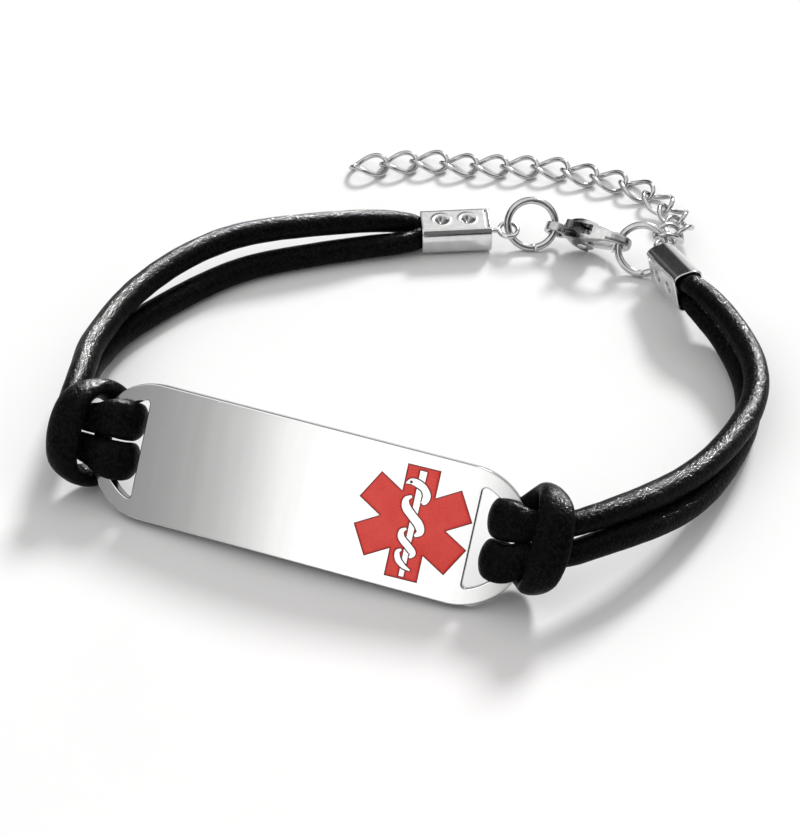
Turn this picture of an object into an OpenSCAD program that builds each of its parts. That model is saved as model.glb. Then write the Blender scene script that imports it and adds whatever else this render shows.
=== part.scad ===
// Medical alert bracelet: a curved steel plate with a red medical star, doubled
// black leather cord on each side, crimped end caps, two jump rings, a lobster
// clasp and a free extender chain. It lies on a table in a closed loop.
// The plate faces the viewer (-Y), leans back and stands on its lower edge.

/* [Plate] */
// Length of the plate from end to end
plate_len = 47.5; // [44:0.5:52]
// Width of the plate across its face
plate_wid = 14; // [13:0.25:15]
// Thickness of the plate
plate_thk = 1.2; // [1:0.1:1.5]
// Radius to which the plate's outer face is bent
bend_r = 108; // [90:1:140]
// Lean of the plate back from upright, in degrees
plate_lean = 37; // [30:1:42]
// Depth of each end slot along the plate
slot_depth = 4.15; // [3.9:0.05:4.5]
// Width of the rim left outside each slot
rim_wid = 1.65; // [1.4:0.05:1.9]

/* [Star] */
// Length of the star across two opposite arms
star_len = 11.4; // [10:0.1:12]
// Width of one arm of the star
arm_wid = 3.4; // [3:0.1:3.8]
// Distance of the star's middle from the plate's middle
star_shift = 11.9; // [10:0.1:12]
// Depth of the enamelled recess
recess_depth = 0.35; // [0.25:0.05:0.5]
// Gap between the enamel and the metal round it
enamel_gap = 0.05; // [0.03:0.01:0.08]

/* [Leather] */
// Diameter of the leather cord
cord_d = 2.8; // [2.6:0.1:2.9]

/* [Caps] */
// Length of each end cap without its eye
cap_len = 7.8; // [7:0.1:9]
// Width of the crimped face of a cap
cap_wid = 4.4; // [4.2:0.1:4.8]
// Thickness of a cap
cap_thk = 3.2; // [3:0.1:3.6]
// Wall of a cap at its mouth
cap_wall = 0.3; // [0.25:0.05:0.4]
// Wire thickness of a cap's eye
eye_wire = 0.55; // [0.45:0.05:0.6]

/* [Rings] */
// Outer diameter of each jump ring
ring_d = 6.2; // [6:0.05:6.5]
// Wire thickness of each jump ring
ring_wire = 0.84; // [0.7:0.02:0.9]

/* [Clasp] */
// Length of the claw from its eye's middle to the tip of its nose
claw_len = 9; // [8.6:0.1:9.6]
// Width of the claw over its widest part
claw_wid = 5.1; // [4.9:0.1:5.5]
// Thickness of the claw
claw_thk = 2.4; // [2.3:0.1:2.6]
// Thickness of the lever
lever_thk = 1; // [0.9:0.05:1.1]
// Diameter of the hinge pin
pin_d = 0.7; // [0.6:0.05:0.8]

/* [Extender] */
// Outer length of one chain link
link_len = 4.75; // [4.6:0.05:5]
// Outer width of one chain link
link_wid = 3.6; // [3.4:0.05:3.8]
// Wire thickness of a chain link
link_wire = 0.56; // [0.5:0.02:0.62]

/* [Loop] */
// Distance from the plate's middle back to the left cap's mouth
loop_depth = 49.5; // [46:0.5:54]

/* [Hidden] */

// The middle of the whole piece on the table, seen from the plate's middle
middle_x = 3.95;
middle_y = 32.485;

// Small vector helpers
function unit(v) = v / norm(v);
function mix(a, b, k) = a + (b - a) * k;
function turn(v, angle) =
    [v[0] * cos(angle) - v[1] * sin(angle), v[0] * sin(angle) + v[1] * cos(angle), v[2]];
function curve(a, b, c, d, k) =
    0.5 * (2 * b + (c - a) * k + (2 * a - 5 * b + 4 * c - d) * k * k + (3 * b - a - 3 * c + d) * k * k * k);
// A smooth run through all rows of a table, with a number of steps between rows
function smooth(rows, steps) = [
    for (i = [0 : len(rows) - 2])
        for (k = [0 : steps - 1])
            curve(rows[max(i - 1, 0)], rows[i], rows[i + 1], rows[min(i + 2, len(rows) - 1)], k / steps),
    rows[len(rows) - 1]
];

// Plate outline
end_r = plate_wid / 2;
end_u = plate_len / 2 - end_r;
slot_r = end_r - rim_wid;
slot_u = end_u + slot_r - slot_depth;

// Height of the plate's middle, so that its lower back corners touch the table
inner_r = bend_r - plate_thk;
function back_low(u) =
    -sqrt(end_r * end_r - pow(max(u - end_u, 0), 2)) * cos(plate_lean)
    + (sqrt(inner_r * inner_r - u * u) - bend_r) * sin(plate_lean);
plate_z = -min([for (step = [0 : 200]) back_low(end_u + step * end_r / 200)]);

// A point given along the plate, across it and above its outer face, in the room
function plate_pt(u, v, n) =
    let (a = u / bend_r * 180 / PI,
         up = (bend_r + n) * cos(a) - bend_r)
    [(bend_r + n) * sin(a),
     v * sin(plate_lean) - up * cos(plate_lean),
     plate_z + v * cos(plate_lean) + up * sin(plate_lean)];
function plate_dir(u, d) = unit(plate_pt(u + d[0] / 10, d[1] / 10, d[2] / 10) - plate_pt(u, 0, 0));

module on_plate() {
    translate([0, 0, plate_z]) rotate([90 - plate_lean, 0, 0]) children();
}

module in_loop() {
    translate([-middle_x, -middle_y, 0]) children();
}

// Steel between two radii of the bend
module bent_sheet(outer, inner) {
    difference() {
        bend_cylinder(outer);
        bend_cylinder(inner);
    }
}

module bend_cylinder(radius) {
    translate([0, 0, -bend_r]) rotate([90, 0, 0])
        cylinder(r = radius, h = plate_wid * 2, center = true, $fn = 180);
}

module plate_outline() {
    square([2 * end_u, plate_wid], center = true);
    for (side = [-1, 1]) translate([side * end_u, 0]) circle(r = end_r, $fn = 72);
}

module slot_outline() {
    intersection() {
        translate([end_u, 0]) circle(r = slot_r, $fn = 72);
        translate([slot_u, -plate_wid]) square([plate_wid, 2 * plate_wid]);
    }
}

module star_outline(inset) {
    for (angle = [0, 60, 120]) rotate(angle + 30)
        square([star_len - 2 * inset, arm_wid - 2 * inset], center = true);
}

// The snake's visible bands, as rows of place across, place up and half width,
// all as shares of half the star's length
SNAKE = [
    [[-0.26, 0.655, 0.012], [-0.17, 0.705, 0.052], [-0.05, 0.69, 0.064], [0.07, 0.63, 0.06],
     [0.14, 0.52, 0.068], [0.125, 0.42, 0.058], [0.085, 0.37, 0.03]],
    [[-0.11, 0.455, 0.02], [-0.195, 0.38, 0.05], [-0.17, 0.25, 0.074], [-0.03, 0.12, 0.074],
     [0.11, 0, 0.076], [0.16, -0.12, 0.064], [0.08, -0.212, 0.02]],
    [[-0.085, -0.115, 0.018], [-0.155, -0.18, 0.044], [-0.135, -0.29, 0.058], [0.01, -0.41, 0.06],
     [0.115, -0.51, 0.054], [0.075, -0.6, 0.018]],
    [[-0.09, -0.49, 0.016], [-0.15, -0.55, 0.04], [-0.115, -0.67, 0.05], [0, -0.765, 0.04],
     [0.13, -0.815, 0.012]]
];
// The staff: top, bottom and half width at each end, as the same shares
STAFF = [0.925, -0.95, 0.062, 0.042];

function band_side(path, side, extra) = [
    for (i = [0 : len(path) - 1])
        let (along = unit(path[min(i + 1, len(path) - 1)] - path[max(i - 1, 0)]),
             half = path[i][2] * star_len / 2 + extra)
        [path[i][0] * star_len / 2 - side * along[1] * half,
         path[i][1] * star_len / 2 + side * along[0] * half]
];
function reversed(list) = [for (i = [len(list) - 1 : -1 : 0]) list[i]];

module snake_bands(extra) {
    for (rows = SNAKE) {
        path = smooth(rows, 4);
        polygon(concat(band_side(path, 1, extra), reversed(band_side(path, -1, extra))));
    }
}

module staff_outline(extra) {
    half = star_len / 2;
    polygon([[-STAFF[2] * half - extra, STAFF[0] * half + extra],
             [-STAFF[3] * half - extra, STAFF[1] * half - extra],
             [STAFF[3] * half + extra, STAFF[1] * half - extra],
             [STAFF[2] * half + extra, STAFF[0] * half + extra]]);
}

// The bare steel left standing inside the star
module figure_outline(extra) {
    staff_gap = 0.13;
    snake_bands(extra);
    difference() {
        staff_outline(extra);
        snake_bands(staff_gap - extra);
    }
}

module star_prism(inset, extra) {
    translate([star_shift, 0, -bend_r / 8]) linear_extrude(height = bend_r / 4)
        difference() {
            star_outline(inset);
            figure_outline(extra);
        }
}

module id_plate() {
    color("gainsboro") in_loop() on_plate() difference() {
        intersection() {
            bent_sheet(bend_r, bend_r - plate_thk);
            translate([0, 0, -bend_r / 8]) linear_extrude(height = bend_r / 4)
                difference() {
                    plate_outline();
                    slot_outline();
                    mirror([1, 0]) slot_outline();
                }
        }
        difference() {
            star_prism(0, 0);
            bend_cylinder(bend_r - recess_depth);
        }
    }
}

module star_enamel() {
    color("crimson") in_loop() on_plate() intersection() {
        star_prism(enamel_gap, enamel_gap / 2);
        bent_sheet(bend_r, bend_r - recess_depth + enamel_gap);
    }
}

// Jump rings, caps and clasp: each hangs in the one before it.
// The rings lean back on the table, seen nearly face on.
left_ring_lean = 60;
right_ring_lean = 55;
ring_mid_r = (ring_d - ring_wire) / 2;
left_ring_turn = 20;
right_ring_turn = 9;
function ring_arm(turned, lean, at) = turn([cos(at), sin(at) * cos(lean), sin(at) * sin(lean)], turned);
function left_ring_arm(at) = ring_mid_r * ring_arm(left_ring_turn, left_ring_lean, at);
function right_ring_arm(at) = ring_mid_r * ring_arm(right_ring_turn, right_ring_lean, at);

eye_mid_r = (ring_wire + eye_wire) / 2 + 0.34;
left_cap_turn = 25;
left_eye_reach = eye_mid_r + 0.95;
left_eye_side = -0.6;
left_eye_up = 0.25;
left_mouth = [-5.6, loop_depth, cap_thk / 2 + 0.32];
left_cap_end = left_mouth + turn([cap_len, 0, 0], left_cap_turn);
left_eye = left_cap_end + turn([left_eye_reach, left_eye_side, left_eye_up], left_cap_turn);
left_ring = left_eye - left_ring_arm(195);
claw_eye_slack = 0.22;
claw_eye = left_ring + left_ring_arm(-12) * (1 + claw_eye_slack / ring_mid_r);

// Clasp: its length runs along the table, its flat side leans toward the viewer
claw_turn = -5;
claw_rise = 6.4;
claw_lean = 34;
ring_seat = claw_len - 1.4;
function in_claw(p) = turn([p * cos(claw_rise), 0, p * sin(claw_rise)], claw_turn);
hook_seat = claw_eye + in_claw(ring_seat);
right_ring = hook_seat - right_ring_arm(170);

// Right cap: on edge, rising to its mouth; its eye holds the ring from below.
// The eye's place beside, above and before the middle of the cap's end
right_eye_up = 0.95;
right_eye_out = 1.25;
right_eye_reach = eye_mid_r + 0.75;
right_eye_slack = 0.14;
right_cap_turn = -50;
right_cap_rise = 13;
right_cap_roll = 7;
right_eye = right_ring + right_ring_arm(19) * (1 - right_eye_slack / ring_mid_r);
function in_right_cap(v) =
    let (across = v[1] * cos(right_cap_roll) - v[2] * sin(right_cap_roll),
         up = v[1] * sin(right_cap_roll) + v[2] * cos(right_cap_roll))
    turn([v[0] * cos(right_cap_rise) - up * sin(right_cap_rise), across,
          v[0] * sin(right_cap_rise) + up * cos(right_cap_rise)], right_cap_turn);
right_cap_end = right_eye + in_right_cap([right_eye_reach, -right_eye_out, -right_eye_up]);
right_mouth = right_cap_end + in_right_cap([cap_len, 0, 0]);

module jump_ring(middle, turned, lean) {
    seam = 0.06;
    seam_at = -80;
    in_loop() translate(middle) rotate([0, 0, turned]) rotate([lean, 0, 0]) difference() {
        rotate_extrude($fn = 64) translate([ring_mid_r, 0]) circle(d = ring_wire, $fn = 24);
        rotate([0, 0, seam_at]) translate([ring_mid_r, 0, 0])
            cube([ring_wire * 2, seam, ring_wire * 2], center = true);
    }
}

module ring_left() {
    color("silver") jump_ring(left_ring, left_ring_turn, left_ring_lean);
}

module ring_right() {
    color("silver") jump_ring(right_ring, right_ring_turn, right_ring_lean);
}

// A crimped cap: it lies along X from its mouth, with the crimped face up
mouth_depth = 1.6;
cap_edge = 0.55;

module rounded_block(length, width, thick, edge) {
    rotate([90, 0, 90]) linear_extrude(height = length) polygon([
        for (corner = [0 : 3])
            for (step = [0 : 4])
                let (angle = corner * 90 + step * 22.5,
                     sx = (corner == 0 || corner == 3) ? 1 : -1,
                     sy = corner < 2 ? 1 : -1)
                [sx * (width / 2 - edge) + edge * cos(angle), sy * (thick / 2 - edge) + edge * sin(angle)]
    ]);
}

// eye_at is the middle of the eye, seen from the middle of the cap's end
module crimped_cap(eye_at, eye_tilt) {
    dent_r = 0.95;
    dent_depth = 0.45;
    difference() {
        rounded_block(cap_len, cap_wid, cap_thk, cap_edge);
        translate([-1, 0, 0])
            rounded_block(mouth_depth + 1, cap_wid - 2 * cap_wall, cap_thk - 2 * cap_wall,
                          cap_edge - cap_wall / 2);
        for (share = [0.29, 0.67]) translate([cap_len * share, 0, cap_thk / 2 + dent_r - dent_depth])
            sphere(r = dent_r, $fn = 32);
    }
    // The eye and the short stem that joins it to the cap
    translate([cap_len + eye_at[0], eye_at[1], eye_at[2]]) rotate([eye_tilt, 0, 0])
        rotate_extrude($fn = 48) translate([eye_mid_r, 0]) circle(d = eye_wire, $fn = 18);
    translate([cap_len - 0.3, eye_at[1], eye_at[2]]) rotate([0, 90, 0])
        cylinder(d = eye_wire * 0.96, h = 0.3 + eye_at[0] - eye_mid_r + 0.1, $fn = 18);
}

module left_cap() {
    color("silver") in_loop() translate(left_mouth) rotate([0, 0, left_cap_turn])
        crimped_cap([left_eye_reach, left_eye_side, left_eye_up], 8);
}

module right_cap() {
    color("silver") in_loop() translate(right_cap_end) rotate([0, 0, right_cap_turn])
        rotate([0, -right_cap_rise, 0]) rotate([right_cap_roll, 0, 0])
        translate([cap_len, 0, 0]) rotate([0, 0, 180]) rotate([-90, 0, 0])
        crimped_cap([right_eye_reach, -right_eye_up, -right_eye_out], 90);
}

// Lobster clasp in its own plane: X from the eye to the nose, Y up, Z through it
claw_mid = claw_len - 4.7;
claw_back = 0.75;
hole_long = 2.1;
hole_wide = 1.5;
hole_mid = claw_len - 0.85 - hole_long;
hinge_p = 3.5;
hinge_q = -0.1;
gate_reach = claw_len - 2.1 - hinge_p;
gate_top = -0.3;
lever_play = 0.1;
eye_hole_d = 1.7;
eye_out_d = 2.7;
// Side view of the claw: share of its length, share of its half thickness
CLAW_SIDE = [[0.05, 0.44], [0.13, 0.52], [0.2, 0.8], [0.3, 0.96], [0.38, 1], [0.48, 0.92], [0.58, 0.78],
             [0.68, 0.64], [0.78, 0.52], [0.95, 0.4], [1.02, 0.38]];
function claw_side(way) = [for (row = CLAW_SIDE) [row[0] * claw_len, way * row[1] * claw_thk / 2]];

function egg(middle, back, front, half) = [
    for (step = [0 : 47])
        let (a = step * 7.5,
             reach = cos(a) > 0 ? front : back)
        [middle + reach * cos(a), half * sin(a)]
];

module claw_outline() {
    polygon(egg(claw_mid, claw_mid - claw_back, claw_len - claw_mid, claw_wid / 2));
}

module claw_hole() {
    polygon(egg(hole_mid, hole_long, hole_long, hole_wide));
}

// The part of the claw's ring that the lever closes: its end is an arc about the pin
module gate_zone(play) {
    intersection() {
        polygon([[hinge_p - play, hinge_q], [hinge_p - play, -claw_wid], [claw_len, -claw_wid],
                 [claw_len, gate_top], [hinge_p + 2, gate_top]]);
        translate([hinge_p, hinge_q]) circle(r = gate_reach + play, $fn = 72);
    }
}

module gate_outline() {
    intersection() {
        difference() {
            polygon(egg(claw_mid, claw_mid - claw_back - lever_play, claw_len - claw_mid - lever_play,
                        claw_wid / 2 - lever_play));
            polygon(egg(hole_mid, hole_long, hole_long, hole_wide - lever_play));
        }
        gate_zone(-lever_play);
    }
}

// The thumb piece stands out over the claw's back, near the eye
thumb = [hinge_p - 1, claw_wid / 2 + 0.2];
thumb_d = 1.1;
thumb_arm = 0.35;

module in_clasp() {
    in_loop() translate(claw_eye) rotate([0, 0, claw_turn]) rotate([0, -claw_rise, 0])
        rotate([90 + claw_lean, 0, 0]) children();
}

module clasp_body() {
    slot_start = 1.5;
    slot_end = 5;
    eye_thk = 1;
    color("silver") in_clasp() difference() {
        union() {
            intersection() {
                linear_extrude(height = claw_thk, center = true) difference() {
                    claw_outline();
                    claw_hole();
                    gate_zone(0);
                }
                rotate([90, 0, 0]) linear_extrude(height = claw_wid * 2, center = true)
                    polygon(concat(claw_side(1), reversed(claw_side(-1))));
                // Rounds the long edges
                rotate([0, 90, 0]) rotate_extrude($fn = 64) polygon(concat(
                    [[0, claw_len + 0.3]],
                    [for (p = egg(claw_mid, claw_mid - claw_back, claw_len - claw_mid, claw_wid / 2))
                        if (p[1] > 0.3) [p[1] + 0.03, p[0]]],
                    [[0, claw_back - 0.3]]));
            }
            // Cheeks that carry the pin
            translate([hinge_p, hinge_q, 0]) cylinder(d = 2.6, h = claw_thk - 0.02, center = true, $fn = 40);
            // Eye with a neck
            cylinder(d = eye_out_d, h = eye_thk, center = true, $fn = 40);
            translate([1.1, 0, 0]) cube([1.2, 1.3, eye_thk], center = true);
        }
        cylinder(d = eye_hole_d, h = claw_thk * 2, center = true, $fn = 40);
        // Slot for the lever
        translate([slot_start, -claw_wid, -lever_thk / 2 - lever_play])
            cube([slot_end - slot_start, claw_wid * 2, lever_thk + 2 * lever_play]);
        translate([hinge_p, hinge_q, 0]) cylinder(d = pin_d, h = claw_thk * 2, center = true, $fn = 32);
    }
}

module clasp_lever() {
    pin_play = 0.06;
    hub_d = 1.9;
    reach = norm(thumb - [hinge_p, hinge_q]);
    lean = atan2(thumb[1] - hinge_q, thumb[0] - hinge_p);
    color("silver") in_clasp() difference() {
        union() {
            linear_extrude(height = lever_thk, center = true) gate_outline();
            translate([hinge_p, hinge_q, 0]) {
                cylinder(d = hub_d, h = lever_thk, center = true, $fn = 32);
                rotate([0, 0, lean]) translate([0, -thumb_arm, -lever_thk / 2])
                    cube([reach, 2 * thumb_arm, lever_thk]);
            }
            translate([thumb[0], thumb[1], 0]) cylinder(d = thumb_d, h = lever_thk, center = true, $fn = 32);
        }
        translate([hinge_p, hinge_q, 0])
            cylinder(d = pin_d + pin_play, h = claw_thk, center = true, $fn = 32);
    }
}

module clasp_pin() {
    head_d = 1.15;
    head_h = 0.22;
    color("white") in_clasp() translate([hinge_p, hinge_q, 0]) {
        cylinder(d = pin_d - 0.04, h = claw_thk + 2 * head_h, center = true, $fn = 32);
        for (side = [-1, 1]) translate([0, 0, side * (claw_thk / 2 + head_h / 2 + 0.02)])
            cylinder(d = head_d, h = head_h, center = true, $fn = 32);
    }
}

// A tube through rows of place, thickness direction, half width and half thickness
CORD_SIDES = 10;
module swept_cord(rows) {
    last = len(rows) - 1;
    rings = [for (i = [0 : last])
        let (place = [rows[i][0], rows[i][1], rows[i][2]],
             next = rows[min(i + 1, last)],
             before = rows[max(i - 1, 0)],
             along = unit([next[0] - before[0], next[1] - before[1], next[2] - before[2]]),
             lift = [rows[i][3], rows[i][4], rows[i][5]],
             side = unit(cross(along, lift)),
             thick = cross(side, along))
        [for (k = [0 : CORD_SIDES - 1])
            let (a = k * 360 / CORD_SIDES)
            place + side * rows[i][6] * cos(a) + thick * rows[i][7] * sin(a)]];
    points = [for (ring = rings) for (p = ring) p];
    function at(i, k) = i * CORD_SIDES + k % CORD_SIDES;
    polyhedron(
        points = points,
        faces = concat(
            [[for (k = [0 : CORD_SIDES - 1]) k]],
            [[for (k = [CORD_SIDES - 1 : -1 : 0]) at(last, k)]],
            [for (i = [0 : last - 1]) for (k = [0 : CORD_SIDES - 1])
                [at(i, k), at(i + 1, k), at(i, k + 1)]],
            [for (i = [0 : last - 1]) for (k = [0 : CORD_SIDES - 1])
                [at(i, k + 1), at(i + 1, k), at(i + 1, k + 1)]]
        )
    );
}

// One half of the hitch round the plate's rim, from the band inward to the
// bight's middle: place outward, across and forward of the middle of the rim's
// steel, thickness direction, half width and half thickness, in cord radii
HITCH = [
    [3.3, 1.12, 0.86, 0, 0, 1, 0.91, 0.9],
    [2.3, 1.03, 0.76, 0, 0, 1, 0.94, 0.88],
    [1.2, 1.1, 0.93, 0, 0, 1, 1.05, 0.82],
    [0.1, 1.24, 1.14, 0, 0, 1, 1.19, 0.7],
    [-1, 1.5, 1.15, -0.3, 0, 1, 1.44, 0.68],
    [-1.95, 1.5, 0.66, -0.8, 0, 0.6, 1.44, 0.66],
    [-2.2, 1.47, -0.2, -1, 0, -0.1, 1.4, 0.66],
    [-1.75, 1.45, -1.05, -0.7, 0, -0.7, 1.25, 0.7],
    [-0.7, 1.6, -1.42, 0, 0, -1, 1.12, 0.8],
    [0.1, 2.3, -1.45, 0.1, 0.3, -1, 1, 0.86],
    [0.8, 3, -0.95, 0.4, 0.7, -0.7, 0.95, 0.8],
    [1.25, 3.3, 0.2, 0.4, 1, 0, 1.03, 0.72],
    [1.55, 3.02, 1.62, 0.15, 0.85, 0.5, 1.18, 0.72],
    [1.82, 2.02, 2.54, 0, 0.35, 0.95, 1.32, 0.68],
    [1.95, 0, 2.68, 0, 0, 1, 1.44, 0.7]
];
rim_mid = plate_len / 2 - rim_wid / 2;
cord_r = cord_d / 2;

// side 1 is the right end; shift moves the hitch across the plate, inset toward
// the plate's middle, and rise lifts it across the plate as it leaves it
function hitch_row(row, side, flip, shift, inset, rise) =
    let (u = rim_mid + row[0] * cord_r - inset,
         v = flip * row[1] * cord_r + shift + rise * max(0, row[0] + 1) / 4.3,
         n = row[2] * cord_r - plate_thk / 2,
         lift = plate_dir(side * u, [side * row[3], flip * row[4], row[5]]),
         place = plate_pt(side * u, v, n))
    [place[0], place[1], place[2], lift[0], lift[1], lift[2], row[6] * cord_r, row[7] * cord_r];

function hitch(side, shift, inset, rise) = concat(
    [for (row = HITCH) hitch_row(row, side, 1, shift, inset, rise)],
    [for (i = [len(HITCH) - 2 : -1 : 0]) hitch_row(HITCH[i], side, -1, shift, inset, rise)]
);

// Free runs of the four strands, from the cap to the hitch, in the room.
// The strands lie on the table behind and rise to the plate in front.
LEFT_UPPER = [[-9.5, 48.2, 3.6], [-13.6, 45.3, 4.3], [-20.4, 40.9, 4.6], [-24.7, 36.9, 4.6], [-28, 31.2, 4.6],
              [-29.9, 24.5, 4.7], [-30, 18.4, 5.2], [-29.5, 13.9, 6], [-28.1, 9.4, 7]];
LEFT_LOWER = [[-9, 46.4, 1.5], [-13.1, 43.9, 1.4], [-19.9, 39.1, 1.4], [-23.8, 34.6, 1.4], [-27.2, 28.7, 1.4],
              [-29.7, 22.6, 1.6], [-30.1, 18.4, 2.1], [-29.8, 14, 3.1], [-28.7, 9, 3.95]];
RIGHT_UPPER = [[29.9, 45.6, 5.1], [33.7, 41.9, 4.9], [36.9, 37.2, 4.8], [38, 29.6, 4.9], [36.4, 20.4, 5.7],
               [33.9, 14.4, 6.6], [31.2, 9.5, 7.65]];
RIGHT_LOWER = [[29.3, 45.8, 2.2], [32.4, 42.9, 1.7], [35.4, 38.6, 1.6], [37.6, 31, 1.9], [36.9, 19.6, 3],
               [34.6, 12.9, 4.2], [31.9, 8.2, 5.4]];
// The plate and the loop for which the runs were laid
LAID_LEN = 47.5;
LAID_DEPTH = 49.5;

// A run moves with the end of the plate in front and with the cap behind
function run_rows(points, side) = [
    for (i = [0 : len(points) - 1])
        let (front = i / (len(points) - 1),
             place = points[i]
                 + [side * (plate_len - LAID_LEN) / 2 * front, (loop_depth - LAID_DEPTH) * (1 - front), 0],
             full = mix(0.92, 1, min(1, front * 2)) * cord_r)
        [place[0], place[1], place[2], 0, 0, 1, full, full]
];

// The squeezed ends inside a cap, level with its mouth, and the swell just outside it
function cap_rows(mouth, into, spread, thick, halves, lift) =
    let (inner = mouth + into * 0.9 + spread,
         level = mouth - into * 0.1 + spread,
         outer = mouth - into * 1.5 + spread * 1.42 + [0, 0, lift])
    [for (row = [[inner, halves], [level, halves], [outer, [1, 1] * cord_r * 0.86]])
        [row[0][0], row[0][1], row[0][2], thick[0], thick[1], thick[2], row[1][0], row[1][1]]];

squeeze = 0.06;
side_half = (cap_wid - 2 * cap_wall) / 4 - squeeze;
flat_half = (cap_thk - 2 * cap_wall) / 2 - squeeze;
left_into = turn([1, 0, 0], left_cap_turn);
left_across = turn([0, side_half + squeeze / 2, 0], left_cap_turn);
right_into = -in_right_cap([1, 0, 0]);
right_up = in_right_cap([0, 0, 1]);
right_across = right_up * (side_half + squeeze / 2);

module left_cord() {
    color("#181818") in_loop() swept_cord(smooth(concat(
        cap_rows(left_mouth, left_into, left_across, [0, 0, 1], [side_half, flat_half], 0.45),
        run_rows(LEFT_UPPER, -1),
        hitch(-1, 0.45, 0.45, -0.3),
        reversed(run_rows(LEFT_LOWER, -1)),
        reversed(cap_rows(left_mouth, left_into, -left_across, [0, 0, 1], [side_half, flat_half], -0.45))
    ), 2));
}

module right_cord() {
    color("#181818") in_loop() swept_cord(smooth(concat(
        cap_rows(right_mouth, right_into, right_across, right_up, [flat_half, side_half], 0.3),
        run_rows(RIGHT_UPPER, 1),
        hitch(1, 0.4, 0, 1.8),
        reversed(run_rows(RIGHT_LOWER, 1)),
        reversed(cap_rows(right_mouth, right_into, -right_across, right_up, [flat_half, side_half], -0.5))
    ), 2));
}

// Extender chain of twisted curb links, from the right ring along the table
CHAIN_LINKS = 14;
link_gap = 0.12;
link_pitch = link_len - 2 * link_wire - link_gap;
link_twist = 42;
chain_at = 45;
chain_start = right_ring + right_ring_arm(chain_at);
// Places along the free chain, seen from its first hold on the ring
CHAIN_ROUTE = [[0, 0, 0], [1.1, 2.3, -1.1], [0.3, 5.7, -2.2], [-2, 8.6, -3], [-5, 10.8, -3.35],
               [-8.2, 11.5, -3.35], [-12, 11.5, -3.35], [-16, 11.4, -3.35], [-19.2, 10.5, -3.35],
               [-23, 9.3, -3.35], [-26.8, 8.2, -3.35], [-29.8, 7.6, -3.35], [-32.6, 6.4, -3.35],
               [-35.5, 4.8, -3.35], [-38, 3.4, -3.35]];
route = smooth(CHAIN_ROUTE, 4);
function run_length(i) = i == 0 ? 0 : run_length(i - 1) + norm(route[i] - route[i - 1]);
route_at = [for (i = [0 : len(route) - 1]) run_length(i)];
function route_pt(s) = [
    for (axis = [0 : 2]) lookup(s, [for (i = [0 : len(route) - 1]) [route_at[i], route[i][axis]]])
];
first_link = (link_len - link_wire) / 2 - link_wire / 2 - ring_wire / 2 - 0.08;

LINK_STEPS = 16;
LINK_SIDES = 6;
module chain_link(number) {
    s = first_link + (number - 1) * link_pitch;
    middle = chain_start + route_pt(s);
    along = unit(route_pt(s + link_pitch / 2) - route_pt(s - link_pitch / 2));
    across = unit(cross([0, 0, 1], along));
    up = cross(along, across);
    half_l = (link_len - link_wire) / 2;
    half_w = (link_wid - link_wire) / 2;
    function bend(a) =
        let (tip = link_twist * cos(a))
        [half_l * cos(a), half_w * sin(a) * cos(tip), half_w * sin(a) * sin(tip)];
    function in_room(p) = middle + along * p[0] + across * p[1] + up * p[2];
    points = [for (i = [0 : LINK_STEPS - 1])
        let (a = i * 360 / LINK_STEPS,
             here = bend(a),
             ahead = unit(bend(a + 2) - bend(a - 2)),
             out = unit(cross(ahead, cross(here, ahead))),
             side = cross(ahead, out))
        for (k = [0 : LINK_SIDES - 1])
            in_room(here + (out * cos(k * 60 + 30) + side * sin(k * 60 + 30)) * link_wire / 2)];
    function at(i, k) = (i % LINK_STEPS) * LINK_SIDES + k % LINK_SIDES;
    color("silver") in_loop() polyhedron(
        points = points,
        faces = [for (i = [0 : LINK_STEPS - 1]) for (k = [0 : LINK_SIDES - 1]) for (half = [0, 1])
            half == 0 ? [at(i, k), at(i, k + 1), at(i + 1, k)]
                      : [at(i, k + 1), at(i + 1, k + 1), at(i + 1, k)]]
    );
}

id_plate();
star_enamel();
left_cord();
right_cord();
left_cap();
right_cap();
ring_left();
ring_right();
clasp_body();
clasp_lever();
clasp_pin();
chain_link(1);  // chain_link_01
chain_link(2);  // chain_link_02
chain_link(3);  // chain_link_03
chain_link(4);  // chain_link_04
chain_link(5);  // chain_link_05
chain_link(6);  // chain_link_06
chain_link(7);  // chain_link_07
chain_link(8);  // chain_link_08
chain_link(9);  // chain_link_09
chain_link(10);  // chain_link_10
chain_link(11);  // chain_link_11
chain_link(12);  // chain_link_12
chain_link(13);  // chain_link_13
chain_link(14);  // chain_link_14
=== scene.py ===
"""Medical alert bracelet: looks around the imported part.

Lengths are millimetres from the plate's middle, as in the part's source, until piece() makes
them metres from the frame's origin.
"""
from functools import partial
from math import atan2, cos, degrees, exp, hypot, pi, radians, sin, sqrt

import bpy
import numpy as np
from mathutils import Matrix, Vector, noise
from mathutils.geometry import delaunay_2d_cdt


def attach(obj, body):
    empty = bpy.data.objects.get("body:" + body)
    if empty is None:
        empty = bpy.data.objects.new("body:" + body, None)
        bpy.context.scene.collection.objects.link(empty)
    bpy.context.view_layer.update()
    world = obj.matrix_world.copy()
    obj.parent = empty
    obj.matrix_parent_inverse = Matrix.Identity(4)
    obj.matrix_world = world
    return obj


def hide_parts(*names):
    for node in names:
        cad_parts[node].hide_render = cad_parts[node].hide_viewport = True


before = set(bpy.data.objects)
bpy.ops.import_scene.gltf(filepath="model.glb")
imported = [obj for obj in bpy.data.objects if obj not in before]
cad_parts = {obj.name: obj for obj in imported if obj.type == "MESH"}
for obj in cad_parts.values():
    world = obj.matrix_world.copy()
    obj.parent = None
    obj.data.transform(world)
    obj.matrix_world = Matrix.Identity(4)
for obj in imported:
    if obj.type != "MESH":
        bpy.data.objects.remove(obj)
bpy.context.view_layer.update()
ROOT = "bracelet"
LEVER = "lever"
MM = 0.001

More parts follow.
